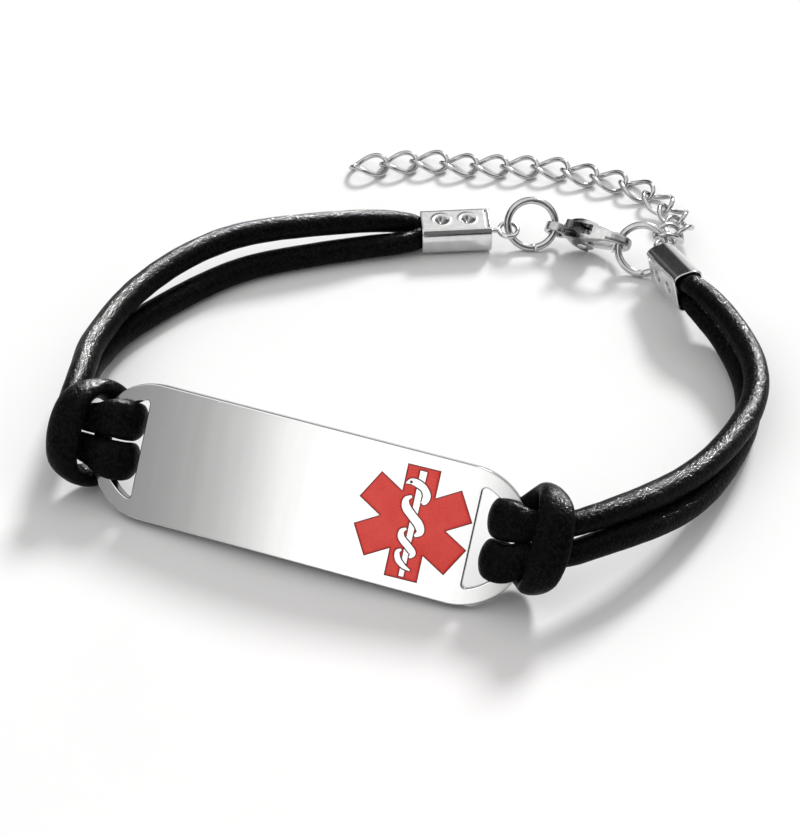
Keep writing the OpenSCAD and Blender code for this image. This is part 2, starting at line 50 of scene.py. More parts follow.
# --- sizes, the same as the part's
PLATE_LEN, PLATE_WID, PLATE_THK = 47.5, 14.0, 1.2
BEND_R, LEAN = 108.0, 37.0
SLOT_DEPTH, SLOT_CORNER, RIM = 4.15, 0.4, 1.65
STAR_LEN, ARM_WID, STAR_SHIFT = 11.4, 3.4, 11.9
RECESS, ENAMEL_GAP = 0.35, 0.05
CORD_D = 2.8
CAP_LEN, CAP_WID, CAP_THK, CAP_WALL = 7.8, 4.4, 3.2, 0.3
RING_D, RING_WIRE, EYE_WIRE = 6.2, 0.84, 0.55
CLAW_LEN = 9.0
LINK_LEN, LINK_WID, LINK_WIRE, LINK_GAP = 4.75, 3.6, 0.56, 0.12
LOOP_DEPTH = 49.5
MIDDLE = np.array([3.95, 32.485, 0.0])


def unit(v):
    v = np.asarray(v, float)
    return v / np.linalg.norm(v)


def lengths(v):
    return np.linalg.norm(v, axis=-1, keepdims=True)


def distances(pts):
    """How far each point lies along the line through them all."""
    return np.concatenate([[0], np.cumsum(lengths(np.diff(pts, axis=0)))])


def spin(a, b, deg):
    """Two coordinates turned in their plane."""
    c, s = cos(radians(deg)), sin(radians(deg))
    return a * c - b * s, a * s + b * c


def turn(v, deg):
    """The vector turned about the vertical."""
    return np.array([*spin(v[0], v[1], deg), v[2]], float)


def rot(axis, deg):
    return np.array(Matrix.Rotation(radians(deg), 3, axis))


def angles(n):
    """n angles evenly round a circle."""
    return np.linspace(0, 2 * pi, n, endpoint=False)


def smooth_rows(rows, steps):
    """A smooth run through a table's rows, as in the part but with more steps."""
    rows = np.asarray(rows, float)
    out = []
    last = len(rows) - 1
    for i in range(last):
        a, b, c, d = rows[max(i - 1, 0)], rows[i], rows[i + 1], rows[min(i + 2, last)]
        for j in range(steps):
            k = j / steps
            out.append(0.5 * (2 * b + (c - a) * k + (2 * a - 5 * b + 4 * c - d) * k * k
                              + (3 * b - a - 3 * c + d) * k ** 3))
    out.append(rows[last])
    return np.array(out)


END_R = PLATE_WID / 2
END_U = PLATE_LEN / 2 - END_R
SLOT_R = END_R - RIM
SLOT_U = END_U + SLOT_R - SLOT_DEPTH
INNER_R = BEND_R - PLATE_THK
LEAN_COS, LEAN_SIN = cos(radians(LEAN)), sin(radians(LEAN))


def back_low(u):
    """Height of the plate's lower back edge over its middle, at a place along the plate."""
    drop = sqrt(max(END_R ** 2 - max(u - END_U, 0) ** 2, 0)) * LEAN_COS
    return (sqrt(INNER_R ** 2 - u * u) - BEND_R) * LEAN_SIN - drop


PLATE_Z = -min(back_low(END_U + k * END_R / 200) for k in range(201))


def plate_pt(u, v, n):
    """A point along the plate, across it and above its outer face, in the room."""
    u, v, n = np.broadcast_arrays(*(np.asarray(x, float) for x in (u, v, n)))
    a = u / BEND_R
    up = (BEND_R + n) * np.cos(a) - BEND_R
    return np.stack([(BEND_R + n) * np.sin(a), v * LEAN_SIN - up * LEAN_COS,
                     PLATE_Z + v * LEAN_COS + up * LEAN_SIN], -1)


def plate_dir(u, d):
    return unit(plate_pt(u + d[0] / 10, d[1] / 10, d[2] / 10) - plate_pt(u, 0, 0))


def plate_vec(u, d):
    """Directions given along, across and out of the bent plate at each u, in the room."""
    u = np.asarray(u, float)
    d = np.asarray(d, float)
    a = u / BEND_R
    x = d[..., 0] * np.cos(a) + d[..., 2] * np.sin(a)
    up = -d[..., 0] * np.sin(a) + d[..., 2] * np.cos(a)
    out = np.stack([x, d[..., 1] * LEAN_SIN - up * LEAN_COS,
                    d[..., 1] * LEAN_COS + up * LEAN_SIN], -1)
    return out / lengths(out)


# --- making meshes
def given(thing, **settings):
    """The thing with these properties set."""
    for key, value in settings.items():
        setattr(thing, key, value)
    return thing


def new_object(name, data):
    ob = bpy.data.objects.new(name, data)
    bpy.context.scene.collection.objects.link(ob)
    return ob


def piece(name, b, material, nodes=(), body=ROOT):
    """A builder's mesh, riding on a CAD body and standing for CAD nodes."""
    verts = (np.asarray(b.verts, float) - MIDDLE) * MM
    mesh = bpy.data.meshes.new(name)
    mesh.from_pydata(verts.tolist(), [], [list(map(int, f)) for f in b.faces])
    mesh.validate()
    mesh.shade_smooth()
    if b.normals:
        mesh.normals_split_custom_set(b.normals)
    mesh.materials.append(material)
    ob = new_object(name, mesh)
    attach(ob, body)
    if nodes:
        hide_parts(*nodes)
    return ob


class Builder:
    """Collects vertices and faces of one mesh."""

    def __init__(self):
        self.verts, self.faces, self.normals = [], [], []

    def add(self, pts):
        start = len(self.verts)
        self.verts.extend(np.asarray(pts, float).reshape(-1, 3))
        return list(range(start, len(self.verts)))

    def push(self, face, normals):
        """A face with a normal for each of its corners."""
        self.faces.append(tuple(face))
        self.normals.extend(tuple(n) for n in normals)

    def tube(self, rings, closed=False):
        """A tube through the rings, back to the first one if closed, or else shut at its ends."""
        ids = [self.add(r) for r in rings]
        n = len(ids[0])
        for a, b in zip(ids, ids[1:] + (ids[:1] if closed else [])):
            self.faces += [(a[i], a[(i + 1) % n], b[(i + 1) % n], b[i]) for i in range(n)]
        if not closed:
            self.fan(ids[0], flip=True)
            self.fan(ids[-1])

    def fan(self, ring, flip=False):
        mid = self.add([np.mean([self.verts[i] for i in ring], axis=0)])[0]
        n = len(ring)
        for i in range(n):
            f = (ring[i], ring[(i + 1) % n], mid)
            self.faces.append(f[::-1] if flip else f)

    def turn_out(self):
        """Turns over all the faces made so far."""
        self.faces = [f[::-1] for f in self.faces]


# --- materials
# The colour sockets of a Mix node
MIX_A, MIX_B, MIX_OUT = 6, 7, 2


def feed(node, values):
    """Links sockets to a node's inputs, or sets them where the value isn't a socket."""
    for key, value in values.items():
        if isinstance(value, bpy.types.NodeSocket):
            node.id_data.links.new(value, node.inputs[key])
        else:
            node.inputs[key].default_value = value


def new_node(nt, kind, values, **settings):
    n = given(nt.nodes.new("ShaderNode" + kind), **settings)
    feed(n, values)
    return n


def new_material(name):
    mat = bpy.data.materials.new(name)
    mat.use_nodes = True
    nt = mat.node_tree
    return mat, nt, nt.nodes["Principled BSDF"]


def in_mm(nt, scale=(1000, 1000, 1000)):
    """Object coordinates with one unit a millimetre, or stretched by another scale."""
    place = new_node(nt, "TexCoord", {}).outputs["Object"]
    return new_node(nt, "Mapping", {"Vector": place, "Scale": scale}).outputs["Vector"]


def ramp(nt, fac, stops):
    """A colour ramp; a stop's colour is a triple or the number of a grey."""
    r = new_node(nt, "ValToRGB", {"Fac": fac})
    el = r.color_ramp.elements
    while len(el) < len(stops):
        el.new(0.5)
    for e, (pos, col) in zip(el, stops):
        e.position = pos
        e.color = (*(col if isinstance(col, tuple) else (col, col, col)), 1)
    return r.outputs["Color"]


def math_node(nt, op, *values, clamp=False):
    return new_node(nt, "Math", dict(enumerate(values)), operation=op, use_clamp=clamp).outputs[0]


def reach_along(nt, vec, axis):
    """How far a vector reaches along an axis."""
    n = new_node(nt, "VectorMath", {0: vec, 1: tuple(axis)}, operation="DOT_PRODUCT")
    return n.outputs["Value"]


def mix_colours(nt, blend, share, a, b):
    n = new_node(nt, "Mix", {"Factor": share, MIX_A: a, MIX_B: b}, data_type="RGBA",
                 blend_type=blend)
    return n.outputs[MIX_OUT]


def bump(nt, height, strength, distance):
    values = {"Height": height, "Strength": strength, "Distance": distance}
    return new_node(nt, "Bump", values).outputs["Normal"]


def noise_tex(nt, vec, scale, detail=2.0, rough=0.5):
    values = {"Vector": vec, "Scale": scale, "Detail": detail, "Roughness": rough}
    return new_node(nt, "TexNoise", values).outputs["Fac"]


def leather():
    mat, nt, bsdf = new_material("black_leather")
    vec = in_mm(nt)
    # Pebbles about a third of a millimetre across, with fine creases between them
    warp = noise_tex(nt, vec, 1.2, 3, 0.6)
    cells = new_node(nt, "TexVoronoi", {"Vector": vec, "Scale": 2.6, "Smoothness": 0.35},
                     feature="SMOOTH_F1")
    fine = new_node(nt, "TexVoronoi", {"Vector": vec, "Scale": 5.5})
    grain = noise_tex(nt, vec, 9, 4, 0.65)
    height = math_node(nt, "MULTIPLY_ADD", cells.outputs["Distance"], -1.0, 1.0)
    for layer, weight in ((fine.outputs["Distance"], -0.85), (grain, 0.45), (warp, 0.8)):
        height = math_node(nt, "MULTIPLY_ADD", layer, weight, height)
    grained = bump(nt, height, 0.9, 0.00006)
    feed(bsdf, {
        "Base Color": ramp(nt, height, [(0.35, 0.0018), (0.8, 0.0042),
                                        (1.0, (0.008, 0.0077, 0.0078))]),
        "Roughness": ramp(nt, warp, [(0.3, 0.24), (0.7, 0.4)]),
        "Specular IOR Level": 0.015, "Coat Weight": 0.045, "Coat Roughness": 0.08,
        "Normal": grained, "Coat Normal": grained})
    return mat


def plate_steel():
    mat, nt, bsdf = new_material("polished_plate")
    # The grain runs across the plate, as rows of hair-fine lines
    lines = noise_tex(nt, in_mm(nt, (9000, 260, 260)), 1.0, 4, 0.6)
    broad = noise_tex(nt, in_mm(nt, (700, 60, 60)), 1.0, 3, 0.5)
    spots = noise_tex(nt, in_mm(nt), 0.6, 3, 0.55)
    mixed = math_node(nt, "MULTIPLY_ADD", spots, 0.05, math_node(nt, "MULTIPLY", lines, 0.05))
    feed(bsdf, {"Base Color": ramp(nt, broad, [(0.25, 0.84), (0.75, 0.89)]),
                "Metallic": 1.0, "Roughness": math_node(nt, "ADD", mixed, 0.1),
                "Normal": bump(nt, lines, 0.05, 0.00001)})
    return mat


def bright_steel(name, dark, light):
    mat, nt, bsdf = new_material(name)
    vec = in_mm(nt)
    smear = noise_tex(nt, vec, 1.1, 3, 0.55)
    wear = noise_tex(nt, vec, 6, 4, 0.6)
    feed(bsdf, {"Base Color": ramp(nt, smear, [(0.3, dark), (0.75, light)]),
                "Metallic": 1.0,
                "Roughness": ramp(nt, wear, [(0.35, 0.1), (0.7, 0.22)]),
                "Normal": bump(nt, wear, 0.12, 0.00002)})
    return mat


def red_enamel():
    """Red enamel, dark where the mesh's attribute "edge" says that it meets the steel."""
    mat, nt, bsdf = new_material("red_enamel")
    vec = in_mm(nt)
    fine = noise_tex(nt, vec, 5, 3, 0.6)
    base = ramp(nt, noise_tex(nt, vec, 0.55, 4, 0.6),
                [(0.3, (0.88, 0.046, 0.033)), (0.7, (0.96, 0.079, 0.06))])
    edge = new_node(nt, "Attribute", {}, attribute_name="edge").outputs["Fac"]
    feed(bsdf, {"Base Color": mix_colours(nt, "MIX", edge, base, (0.11, 0.018, 0.026, 1)),
                "Roughness": ramp(nt, fine, [(0.3, 0.22), (0.7, 0.34)]),
                "Specular IOR Level": 0.4, "Normal": bump(nt, fine, 0.08, 0.00002)})
    return mat


def dark_enamel():
    mat, nt, bsdf = new_material("dark_enamel")
    tone = ramp(nt, noise_tex(nt, in_mm(nt), 4, 2),
                [(0.3, (0.03, 0.012, 0.012)), (0.7, (0.05, 0.02, 0.02))])
    feed(bsdf, {"Base Color": tone, "Roughness": 0.3})
    return mat


def pale_table():
    mat, nt, bsdf = new_material("pale_table")
    tone = ramp(nt, noise_tex(nt, in_mm(nt), 0.02, 4, 0.6),
                [(0.3, (0.765, 0.76, 0.76)), (0.7, (0.795, 0.79, 0.79))])
    feed(bsdf, {"Base Color": tone, "Roughness": 0.75, "Specular IOR Level": 0.2,
                "Normal": bump(nt, noise_tex(nt, in_mm(nt), 2.0, 3), 0.05, 0.00005)})
    return mat


LEATHER, PLATE, ENAMEL, DARK_ENAMEL = leather(), plate_steel(), red_enamel(), dark_enamel()
STEEL = bright_steel("pressed_steel", 0.62, 0.74)
WIRE = bright_steel("drawn_steel", 0.48, 0.6)
CAST = bright_steel("cast_steel", 0.62, 0.76)
# Darker steel painted as shade in the hollows of the caps' dents
DENT_SHADE_STEEL = bright_steel("crimped_dent_painted_shade", 0.3, 0.42)
# Much darker steel painted as shade on the plate's side walls
EDGE_SHADE_STEEL = bright_steel("plate_edge_painted_shade", 0.16, 0.24)

# --- the plate and the star
# The snake's bands from its head down, in shares of half the star:
# place across the staff, place along it, half width
SNAKE = [
    [(-0.26, 0.655, 0.012), (-0.17, 0.705, 0.052), (-0.05, 0.69, 0.064), (0.07, 0.63, 0.06),
     (0.14, 0.52, 0.068), (0.125, 0.42, 0.058), (0.085, 0.37, 0.03)],
    [(-0.11, 0.455, 0.02), (-0.195, 0.38, 0.05), (-0.17, 0.25, 0.074), (-0.03, 0.12, 0.074),
     (0.11, 0, 0.076), (0.16, -0.12, 0.064), (0.08, -0.212, 0.02)],
    [(-0.085, -0.115, 0.018), (-0.155, -0.18, 0.044), (-0.135, -0.29, 0.058), (0.01, -0.41, 0.06),
     (0.115, -0.51, 0.054), (0.075, -0.6, 0.018)],
    [(-0.09, -0.49, 0.016), (-0.15, -0.55, 0.04), (-0.115, -0.67, 0.05), (0, -0.765, 0.04),
     (0.13, -0.815, 0.012)],
]
BAND_STEPS = 10
# The staff in the same shares: its two ends and the half width at each
STAFF_TOP, STAFF_FOOT, STAFF_TOP_HALF, STAFF_FOOT_HALF = 0.925, -0.95, 0.062, 0.042
STAFF_GAP = 0.13
EYE_AT, EYE_STEPS = (-0.175, 0.695), 20
EYE_PROFILE = ((0.15, -0.02), (0.15, 0.012), (0.1, 0.03), (0.04, 0.036))
# Steps round the plate's ends and round a slot's arc and corners, and of the bevel
END_STEPS, SLOT_STEPS, CORNER_STEPS, BEVEL_STEPS = 72, 40, 10, 5
# The bevel, and how far to the side a rim has to face to take the dark steel of painted shade along
# the plate's edge
BEVEL, EDGE_SHADE_FROM = 0.16, 0.55
# Distances between the points inside the face, the star and the back, and their
# distance from the rims and from the star's edge
FACE_STEP, STAR_STEP, BACK_STEP, ROW_STEP = 0.9, 0.16, 1.1, 0.866
FACE_MARGIN, STAR_MARGIN, BACK_MARGIN = 0.25, 0.35, 0.3
STAR_ROOM = (6.4, 6)
# The enamel's crown above the face, and how deep and how far in it is drawn down at its edge
CROWN, SINK, SINK_WIDTH = 0.015, 0.09, 0.1
# How dark the enamel is at its edge, and over what width it brightens
EDGE_DARK, EDGE_FADE = 1.15, 0.13


def arc_dir(a):
    return np.array([cos(a), sin(a)])


def band_outline(rows, extra):
    half = STAR_LEN / 2
    path = smooth_rows(rows, BAND_STEPS)
    n = len(path)
    left, right = [], []
    for i in range(n):
        d = unit((path[min(i + 1, n - 1)] - path[max(i - 1, 0)])[:2])
        c = path[i][:2] * half
        side = np.array([-d[1], d[0]]) * (path[i][2] * half + extra)
        left.append(c + side)
        right.append(c - side)
    return np.array(left + right[::-1])


def staff_outline():
    return np.array([(-STAFF_TOP_HALF, STAFF_TOP), (-STAFF_FOOT_HALF, STAFF_FOOT),
                     (STAFF_FOOT_HALF, STAFF_FOOT), (STAFF_TOP_HALF, STAFF_TOP)]) * STAR_LEN / 2


def star_outline():
    """Six straight arms from the middle, with a corner of the outline between each two."""
    pts = []
    for deg in range(30, 390, 60):
        pts += [spin(STAR_LEN / 2, side * ARM_WID / 2, deg) for side in (-1, 1)]
        pts.append(ARM_WID * arc_dir(radians(deg) + radians(30)))
    return np.array(pts)


def arcs(parts):
    """Points and outward directions along arcs, each a middle, a radius and its angles."""
    dirs = [[arc_dir(a) for a in turned] for _, _, turned in parts]
    pts = [np.array(mid) + d * r for (mid, r, _), arc in zip(parts, dirs) for d in arc]
    return np.array(pts), np.concatenate(dirs)


def stadium(inset):
    """Points and outward normals round the plate, at a distance inside its edge."""
    return arcs([((side * END_U, 0), END_R - inset,
                  [radians(-90 * side + 180 * k / END_STEPS) for k in range(END_STEPS + 1)])
                 for side in (1, -1)])


def slot_edge(out, side):
    """Points round a slot, at a distance into the metal, and normals toward the metal."""
    corner = np.array([SLOT_U + SLOT_CORNER, 0])
    corner[1] = sqrt((SLOT_R - SLOT_CORNER) ** 2 - (corner[0] - END_U) ** 2)
    start = atan2(corner[1], corner[0] - END_U)
    turned = [(pi - start) * k / CORNER_STEPS for k in range(CORNER_STEPS + 1)]
    pts, nrm = arcs([
        ((END_U, 0), SLOT_R, [start * (1 - 2 * k / SLOT_STEPS) for k in range(SLOT_STEPS + 1)]),
        (corner * [1, -1], SLOT_CORNER, [-start - a for a in turned[1:]]),
        (corner, SLOT_CORNER, [pi - a for a in turned[:-1]])])
    pts = pts + nrm * out
    if side < 0:
        pts, nrm = pts[::-1] * [-1, 1], nrm[::-1] * [-1, 1]
    return pts, nrm


def plate_edges(inset):
    """The plate's outline and its two slots, at a distance into the metal."""
    return [stadium(inset)[0]] + [slot_edge(inset, s)[0] for s in (1, -1)]


def inside(pts, poly):
    """Which points lie inside a polygon."""
    x, y = pts[:, 0], pts[:, 1]
    hit = np.zeros(len(pts), bool)
    for (x0, y0), (x1, y1) in zip(poly, np.roll(poly, -1, axis=0)):
        hit ^= ((y0 > y) != (y1 > y)) & (x < (x1 - x0) * (y - y0) / (y1 - y0 + 1e-30) + x0)
    return hit


def in_metal(pts, edges):
    """Which points lie inside the first polygon and outside the others."""
    hit = inside(pts, edges[0])
    for hole in edges[1:]:
        hit &= ~inside(pts, hole)
    return hit


def dist_to(pts, segs):
    """Distance of each point to the nearest of many segments."""
    best = np.full(len(pts), 1e9)
    for a, b in segs:
        ab = b - a
        t = np.clip(((pts - a) @ ab) / max(ab @ ab, 1e-12), 0, 1)
        best = np.minimum(best, np.linalg.norm(pts - (a + t[:, None] * ab), axis=1))
    return best


def nearest(pts, p):
    """Number of the point nearest to p."""
    return int(np.argmin(((pts - p) ** 2).sum(1)))


def triangulate(loops, extra):
    """Points and triangles that keep the loops' edges and use the extra points."""
    pts, edges = [], []
    for loop in loops:
        s = len(pts)
        n = len(loop)
        pts += [Vector(p) for p in loop]
        edges += [(s + i, s + (i + 1) % n) for i in range(n)]
    pts += [Vector(p) for p in extra]
    v, _, f, *_ = delaunay_2d_cdt(pts, edges, [], 0, 1e-6)
    return np.array([tuple(p) for p in v]), [tuple(t) for t in f]


def hex_grid(mid, half_x, half_y, step):
    out = []
    for j in range(int(2 * half_y / (step * ROW_STEP)) + 1):
        for i in range(int(2 * half_x / step) + 1):
            out.append((mid - half_x + (i + 0.5 * (j % 2)) * step, -half_y + j * step * ROW_STEP))
    return np.array(out)


def wound(t, pts, way=1):
    """A triangle's corners in the order that faces out of the plate, or with way -1 behind it."""
    t = list(t)
    (x0, y0), (x1, y1), (x2, y2) = pts[t]
    area = (x1 - x0) * (y2 - y0) - (y1 - y0) * (x2 - x0)
    return t[::-1] if area * way < 0 else t


def divide_face():
    """The face as points and triangles, and which triangles are steel and which enamel."""
    shift = np.array([STAR_SHIFT, 0])
    star, staff = star_outline() + shift, staff_outline() + shift
    bands = [band_outline(r, 0) + shift for r in SNAKE]
    wide = [band_outline(r, STAFF_GAP) + shift for r in SNAKE]
    edges = plate_edges(BEVEL)
    grid = hex_grid(0, PLATE_LEN / 2, END_R, FACE_STEP)
    near = hex_grid(STAR_SHIFT, *STAR_ROOM, STAR_STEP)
    near = near[inside(near, star)]
    star_edges = list(zip(star, np.roll(star, -1, axis=0)))
    grid = grid[~inside(grid, star) & (dist_to(grid, star_edges) > STAR_MARGIN)]
    grid = grid[in_metal(grid, plate_edges(BEVEL + FACE_MARGIN))]
    v, f = triangulate(edges + [star, staff] + bands + wide, np.concatenate([grid, near]))
    mid = np.array([v[list(t)].mean(0) for t in f])
    in_plate = in_metal(mid, edges)
    in_band = np.any([inside(mid, b) for b in bands], axis=0)
    in_wide = np.any([inside(mid, b) for b in wide], axis=0)
    figure = in_band | (inside(mid, staff) & ~in_wide)
    enamel = inside(mid, star) & ~figure & in_plate
    return v, f, in_plate & ~enamel, enamel


def rim_stations():
    """Inset, height and the two parts of the normal, over the bevel, down the wall and under."""
    bend = [radians(90 * k / BEVEL_STEPS) for k in range(BEVEL_STEPS + 1)]
    over = [(BEVEL * (1 - sin(a)), -BEVEL * (1 - cos(a)), sin(a), cos(a)) for a in bend[1:]]
    under = [(BEVEL * (1 - cos(a)), -PLATE_THK + BEVEL * (1 - sin(a)),
              cos(a), -sin(a)) for a in bend]
    return over + under


def build_steel(v, f, steel, enamel):
    """Face, recess, rims and back of the plate. Returns the walls between steel and enamel."""
    b = Builder()
    on_face, on_floor, on_back = {}, {}, {}

    def corner(known, pts, i, height):
        if i not in known:
            known[i] = b.add([plate_pt(*pts[i], height)])[0]
        return known[i]

    def flat(t, known, pts, height, way):
        b.push([corner(known, pts, i, height) for i in t],
               [plate_vec(pts[i][0], (0, 0, way)) for i in t])

    edges_steel, edges_enamel = {}, {}
    for t, is_steel, is_enamel in zip(f, steel, enamel):
        if is_steel or is_enamel:
            t = wound(t, v)
            known, height, sides = ((on_face, 0, edges_steel) if is_steel
                                    else (on_floor, -RECESS, edges_enamel))
            flat(t, known, v, height, 1)
            sides.update(dict.fromkeys(zip(t, t[1:] + t[:1])))
    wall_segs = []
    for i, j in edges_enamel:
        if (j, i) in edges_steel:
            d = unit([*(v[j] - v[i]), 0])
            n = plate_vec(v[i][0], np.array([-d[1], d[0], 0]))
            low = plate_pt(*v[[i, j]].T, -RECESS)
            high = plate_pt(*v[[j, i]].T, 0)
            b.push(b.add([*low, *high]), [n] * 4)
            wall_segs.append((v[i], v[j]))
    walls = []

    def rim(points_at, flat_n, way):
        """Rings from the face's edge to the back. Returns the last one's vertices and points."""
        first = points_at(BEVEL)
        rings = [([corner(on_face, v, nearest(v, p), 0) for p in first], 0.0, 1.0, first)]
        for inset, height, out, up in rim_stations():
            pts = points_at(inset)
            rings.append((b.add(plate_pt(*pts.T, height)), out, up, pts))
        for one, two in zip(rings, rings[1:]):
            m = len(one[0])
            if min(one[1], two[1]) > EDGE_SHADE_FROM:
                walls.extend(range(len(b.faces), len(b.faces) + m))
            for i in range(m):
                j = (i + 1) % m
                corners = ((one, i), (two, i), (two, j), (one, j))
                b.push([r[0][q] for r, q in corners],
                       [plate_vec(r[3][q][0], (*(flat_n[q] * r[1] * way), r[2]))
                        for r, q in corners])
        return rings[-1][0], rings[-1][3]

    rims = [rim(lambda inset: stadium(inset)[0], stadium(BEVEL)[1], 1)]
    rims += [rim(lambda inset, s=s: slot_edge(inset, s)[0], slot_edge(0, s)[1], -1)
             for s in (1, -1)]
    back_edges = [points for _, points in rims]
    grid = hex_grid(0, PLATE_LEN / 2, END_R, BACK_STEP)
    grid = grid[in_metal(grid, plate_edges(BEVEL + BACK_MARGIN))]
    vb, fb = triangulate(back_edges, grid)
    on_back.update((nearest(vb, p), i) for ids, points in rims for i, p in zip(ids, points))
    keep = in_metal(np.array([vb[list(t)].mean(0) for t in fb]), back_edges)
    for t, kept in zip(fb, keep):
        if kept:
            flat(wound(t, vb, -1), on_back, vb, -PLATE_THK, -1)
    ob = piece("curved_plate", b, PLATE, ["id_plate"])
    # The side walls take the much darker steel: painted shade along the plate's edge
    ob.data.materials.append(EDGE_SHADE_STEEL)
    for i in walls:
        ob.data.polygons[i].material_index = 1
    return wall_segs


def build_enamel(v, f, enamel, wall_segs):
    """Enamel flush with the face, drawn down a little where it meets the steel."""
    used = sorted({i for t, en in zip(f, enamel) if en for i in t})
    index = {i: k for k, i in enumerate(used)}
    pts = v[used]
    d = dist_to(pts, wall_segs)
    b = Builder()
    top = b.add(plate_pt(*pts.T, CROWN - SINK * np.exp(-(d / SINK_WIDTH) ** 2)))
    low = b.add(plate_pt(*pts.T, -RECESS + ENAMEL_GAP))
    rim_edges = []
    for t, en in zip(f, enamel):
        if not en:
            continue
        t = wound([index[i] for i in t], pts)
        b.faces.append(tuple(top[i] for i in t))
        b.faces.append(tuple(low[i] for i in t[::-1]))
        rim_edges += zip(t, t[1:] + t[:1])
    have = set(rim_edges)
    for i, j in rim_edges:
        if (j, i) not in have:
            b.faces.append((low[i], low[j], top[j], top[i]))
    ob = piece("star_inlay", b, ENAMEL, ["star_enamel"])
    edge = np.clip(EDGE_DARK - np.concatenate([d, d]) / EDGE_FADE, 0, 1)
    at = ob.data.attributes.new("edge", "FLOAT", "POINT")
    at.data.foreach_set("value", edge.astype(np.float32))


def build_eye():
    """The snake's eye: a dark enamel dot set in the bare steel of its head."""
    half = STAR_LEN / 2
    c = np.array([STAR_SHIFT + EYE_AT[0] * half, EYE_AT[1] * half])
    b = Builder()
    b.tube([[plate_pt(c[0] + r * cos(a), c[1] + r * sin(a), n) for a in angles(EYE_STEPS)]
            for r, n in EYE_PROFILE])
    piece("snake_eye", b, DARK_ENAMEL)


# --- places, as in the part
# How far each ring is turned about the vertical, and how far it leans up from the table
LEFT_POSE, RIGHT_POSE = (20, 60), (9, 55)
RING_MID = (RING_D - RING_WIRE) / 2


def ring_arm(pose, at):
    """From a ring's middle to its wire's middle, at an angle round the ring."""
    a, lean = radians(at), radians(pose[1])
    arm = [cos(a), sin(a) * cos(lean), sin(a) * sin(lean)]
    return RING_MID * turn(arm, pose[0])


# Angles round the rings at which the caps' eyes, the claw's eye and its hook hold them
LEFT_EYE_ON, CLAW_EYE_ON, HOOK_ON, RIGHT_EYE_ON = 195, -12, 170, 19
# A cap's eye: its play, its wire's middle radius, and its place from the middle of the cap's end
EYE_PLAY = 0.34
EYE_MID = (RING_WIRE + EYE_WIRE) / 2 + EYE_PLAY
LEFT_EYE_AT = np.array([EYE_MID + 0.95, -0.6, 0.25])
LEFT_CAP_TURN = 25
LEFT_MOUTH = np.array([-5.6, LOOP_DEPTH, CAP_THK / 2 + 0.32])
LEFT_CAP_END = LEFT_MOUTH + turn([CAP_LEN, 0, 0], LEFT_CAP_TURN)
LEFT_EYE = LEFT_CAP_END + turn(LEFT_EYE_AT, LEFT_CAP_TURN)
LEFT_RING = LEFT_EYE - ring_arm(LEFT_POSE, LEFT_EYE_ON)

CLAW_TURN, CLAW_RISE, CLAW_LEAN = -5, 6.4, 34
CLAW_EYE_SLACK, RING_SEAT = 0.22, CLAW_LEN - 1.4
CLAW_EYE = LEFT_RING + ring_arm(LEFT_POSE, CLAW_EYE_ON) * (1 + CLAW_EYE_SLACK / RING_MID)
CLAW_M = rot("Z", CLAW_TURN) @ rot("Y", -CLAW_RISE) @ rot("X", 90 + CLAW_LEAN)
hook_ahead, hook_up = spin(RING_SEAT, 0, CLAW_RISE)
HOOK = CLAW_EYE + turn([hook_ahead, 0, hook_up], CLAW_TURN)
RIGHT_RING = HOOK - ring_arm(RIGHT_POSE, HOOK_ON)

RIGHT_TURN, RIGHT_RISE, RIGHT_ROLL = -50, 13, 7
RIGHT_EYE_UP, RIGHT_EYE_OUT, RIGHT_EYE_REACH, RIGHT_EYE_SLACK = 0.95, 1.25, EYE_MID + 0.75, 0.14
RIGHT_EYE = RIGHT_RING + ring_arm(RIGHT_POSE, RIGHT_EYE_ON) * (1 - RIGHT_EYE_SLACK / RING_MID)
RIGHT_M = rot("Z", RIGHT_TURN) @ rot("Y", -RIGHT_RISE) @ rot("X", RIGHT_ROLL)
# The right cap lies on edge, with its crimped face to the side and its mouth away from the ring
RIGHT_FLIP = rot("Z", 180) @ rot("X", -90)


def in_right_cap(v):
    across, up = spin(v[1], v[2], RIGHT_ROLL)
    ahead, up = spin(v[0], up, RIGHT_RISE)
    return turn([ahead, across, up], RIGHT_TURN)


RIGHT_CAP_END = RIGHT_EYE + in_right_cap([RIGHT_EYE_REACH, -RIGHT_EYE_OUT, -RIGHT_EYE_UP])
RIGHT_MOUTH = RIGHT_CAP_END + in_right_cap([CAP_LEN, 0, 0])

# --- the jump rings
RING_STEPS, RING_SIDES = 110, 28
# Where a ring's cut lies, how wide it is, and how far its two ends stand apart sideways
CUT_AT, CUT_GAP, CUT_SHIFT = -80, 0.07, 0.05
# The wire's ends are rounded: distance from the end and share of the full radius
CUT_ENDS = [(0.0, 0.86), (0.05, 0.97), (0.1, 1.0)]


def round_wire(middle, m, radius, wire, at, sides, shift=0):
    """Points round a wire bent to a circle, at an angle of it; shift moves it off its plane."""
    pts = []
    for b in angles(sides):
        r = radius + wire * cos(b)
        pts.append(middle + m @ [r * cos(at), r * sin(at), wire * sin(b) + shift])
    return pts


def build_ring(name, node_name, middle, pose):
    m = rot("Z", pose[0]) @ rot("X", pose[1])
    gap = degrees(CUT_GAP / RING_MID)
    start = CUT_AT + gap / 2
    stations = [(start + degrees(x / RING_MID), s) for x, s in CUT_ENDS]
    stations += [(start + (360 - gap) * k / RING_STEPS, 1.0) for k in range(2, RING_STEPS - 1)]
    stations += [(start + 360 - gap - degrees(x / RING_MID), s) for x, s in CUT_ENDS[::-1]]
    rings = []
    for at, s in stations:
        shift = CUT_SHIFT * cos(radians((at - start) / (360 - gap) * 180))
        rings.append(round_wire(middle, m, RING_MID, RING_WIRE / 2 * s, radians(at), RING_SIDES,
                                shift))
    b = Builder()
    b.tube(rings)
    b.turn_out()
    piece(name, b, WIRE, [node_name])


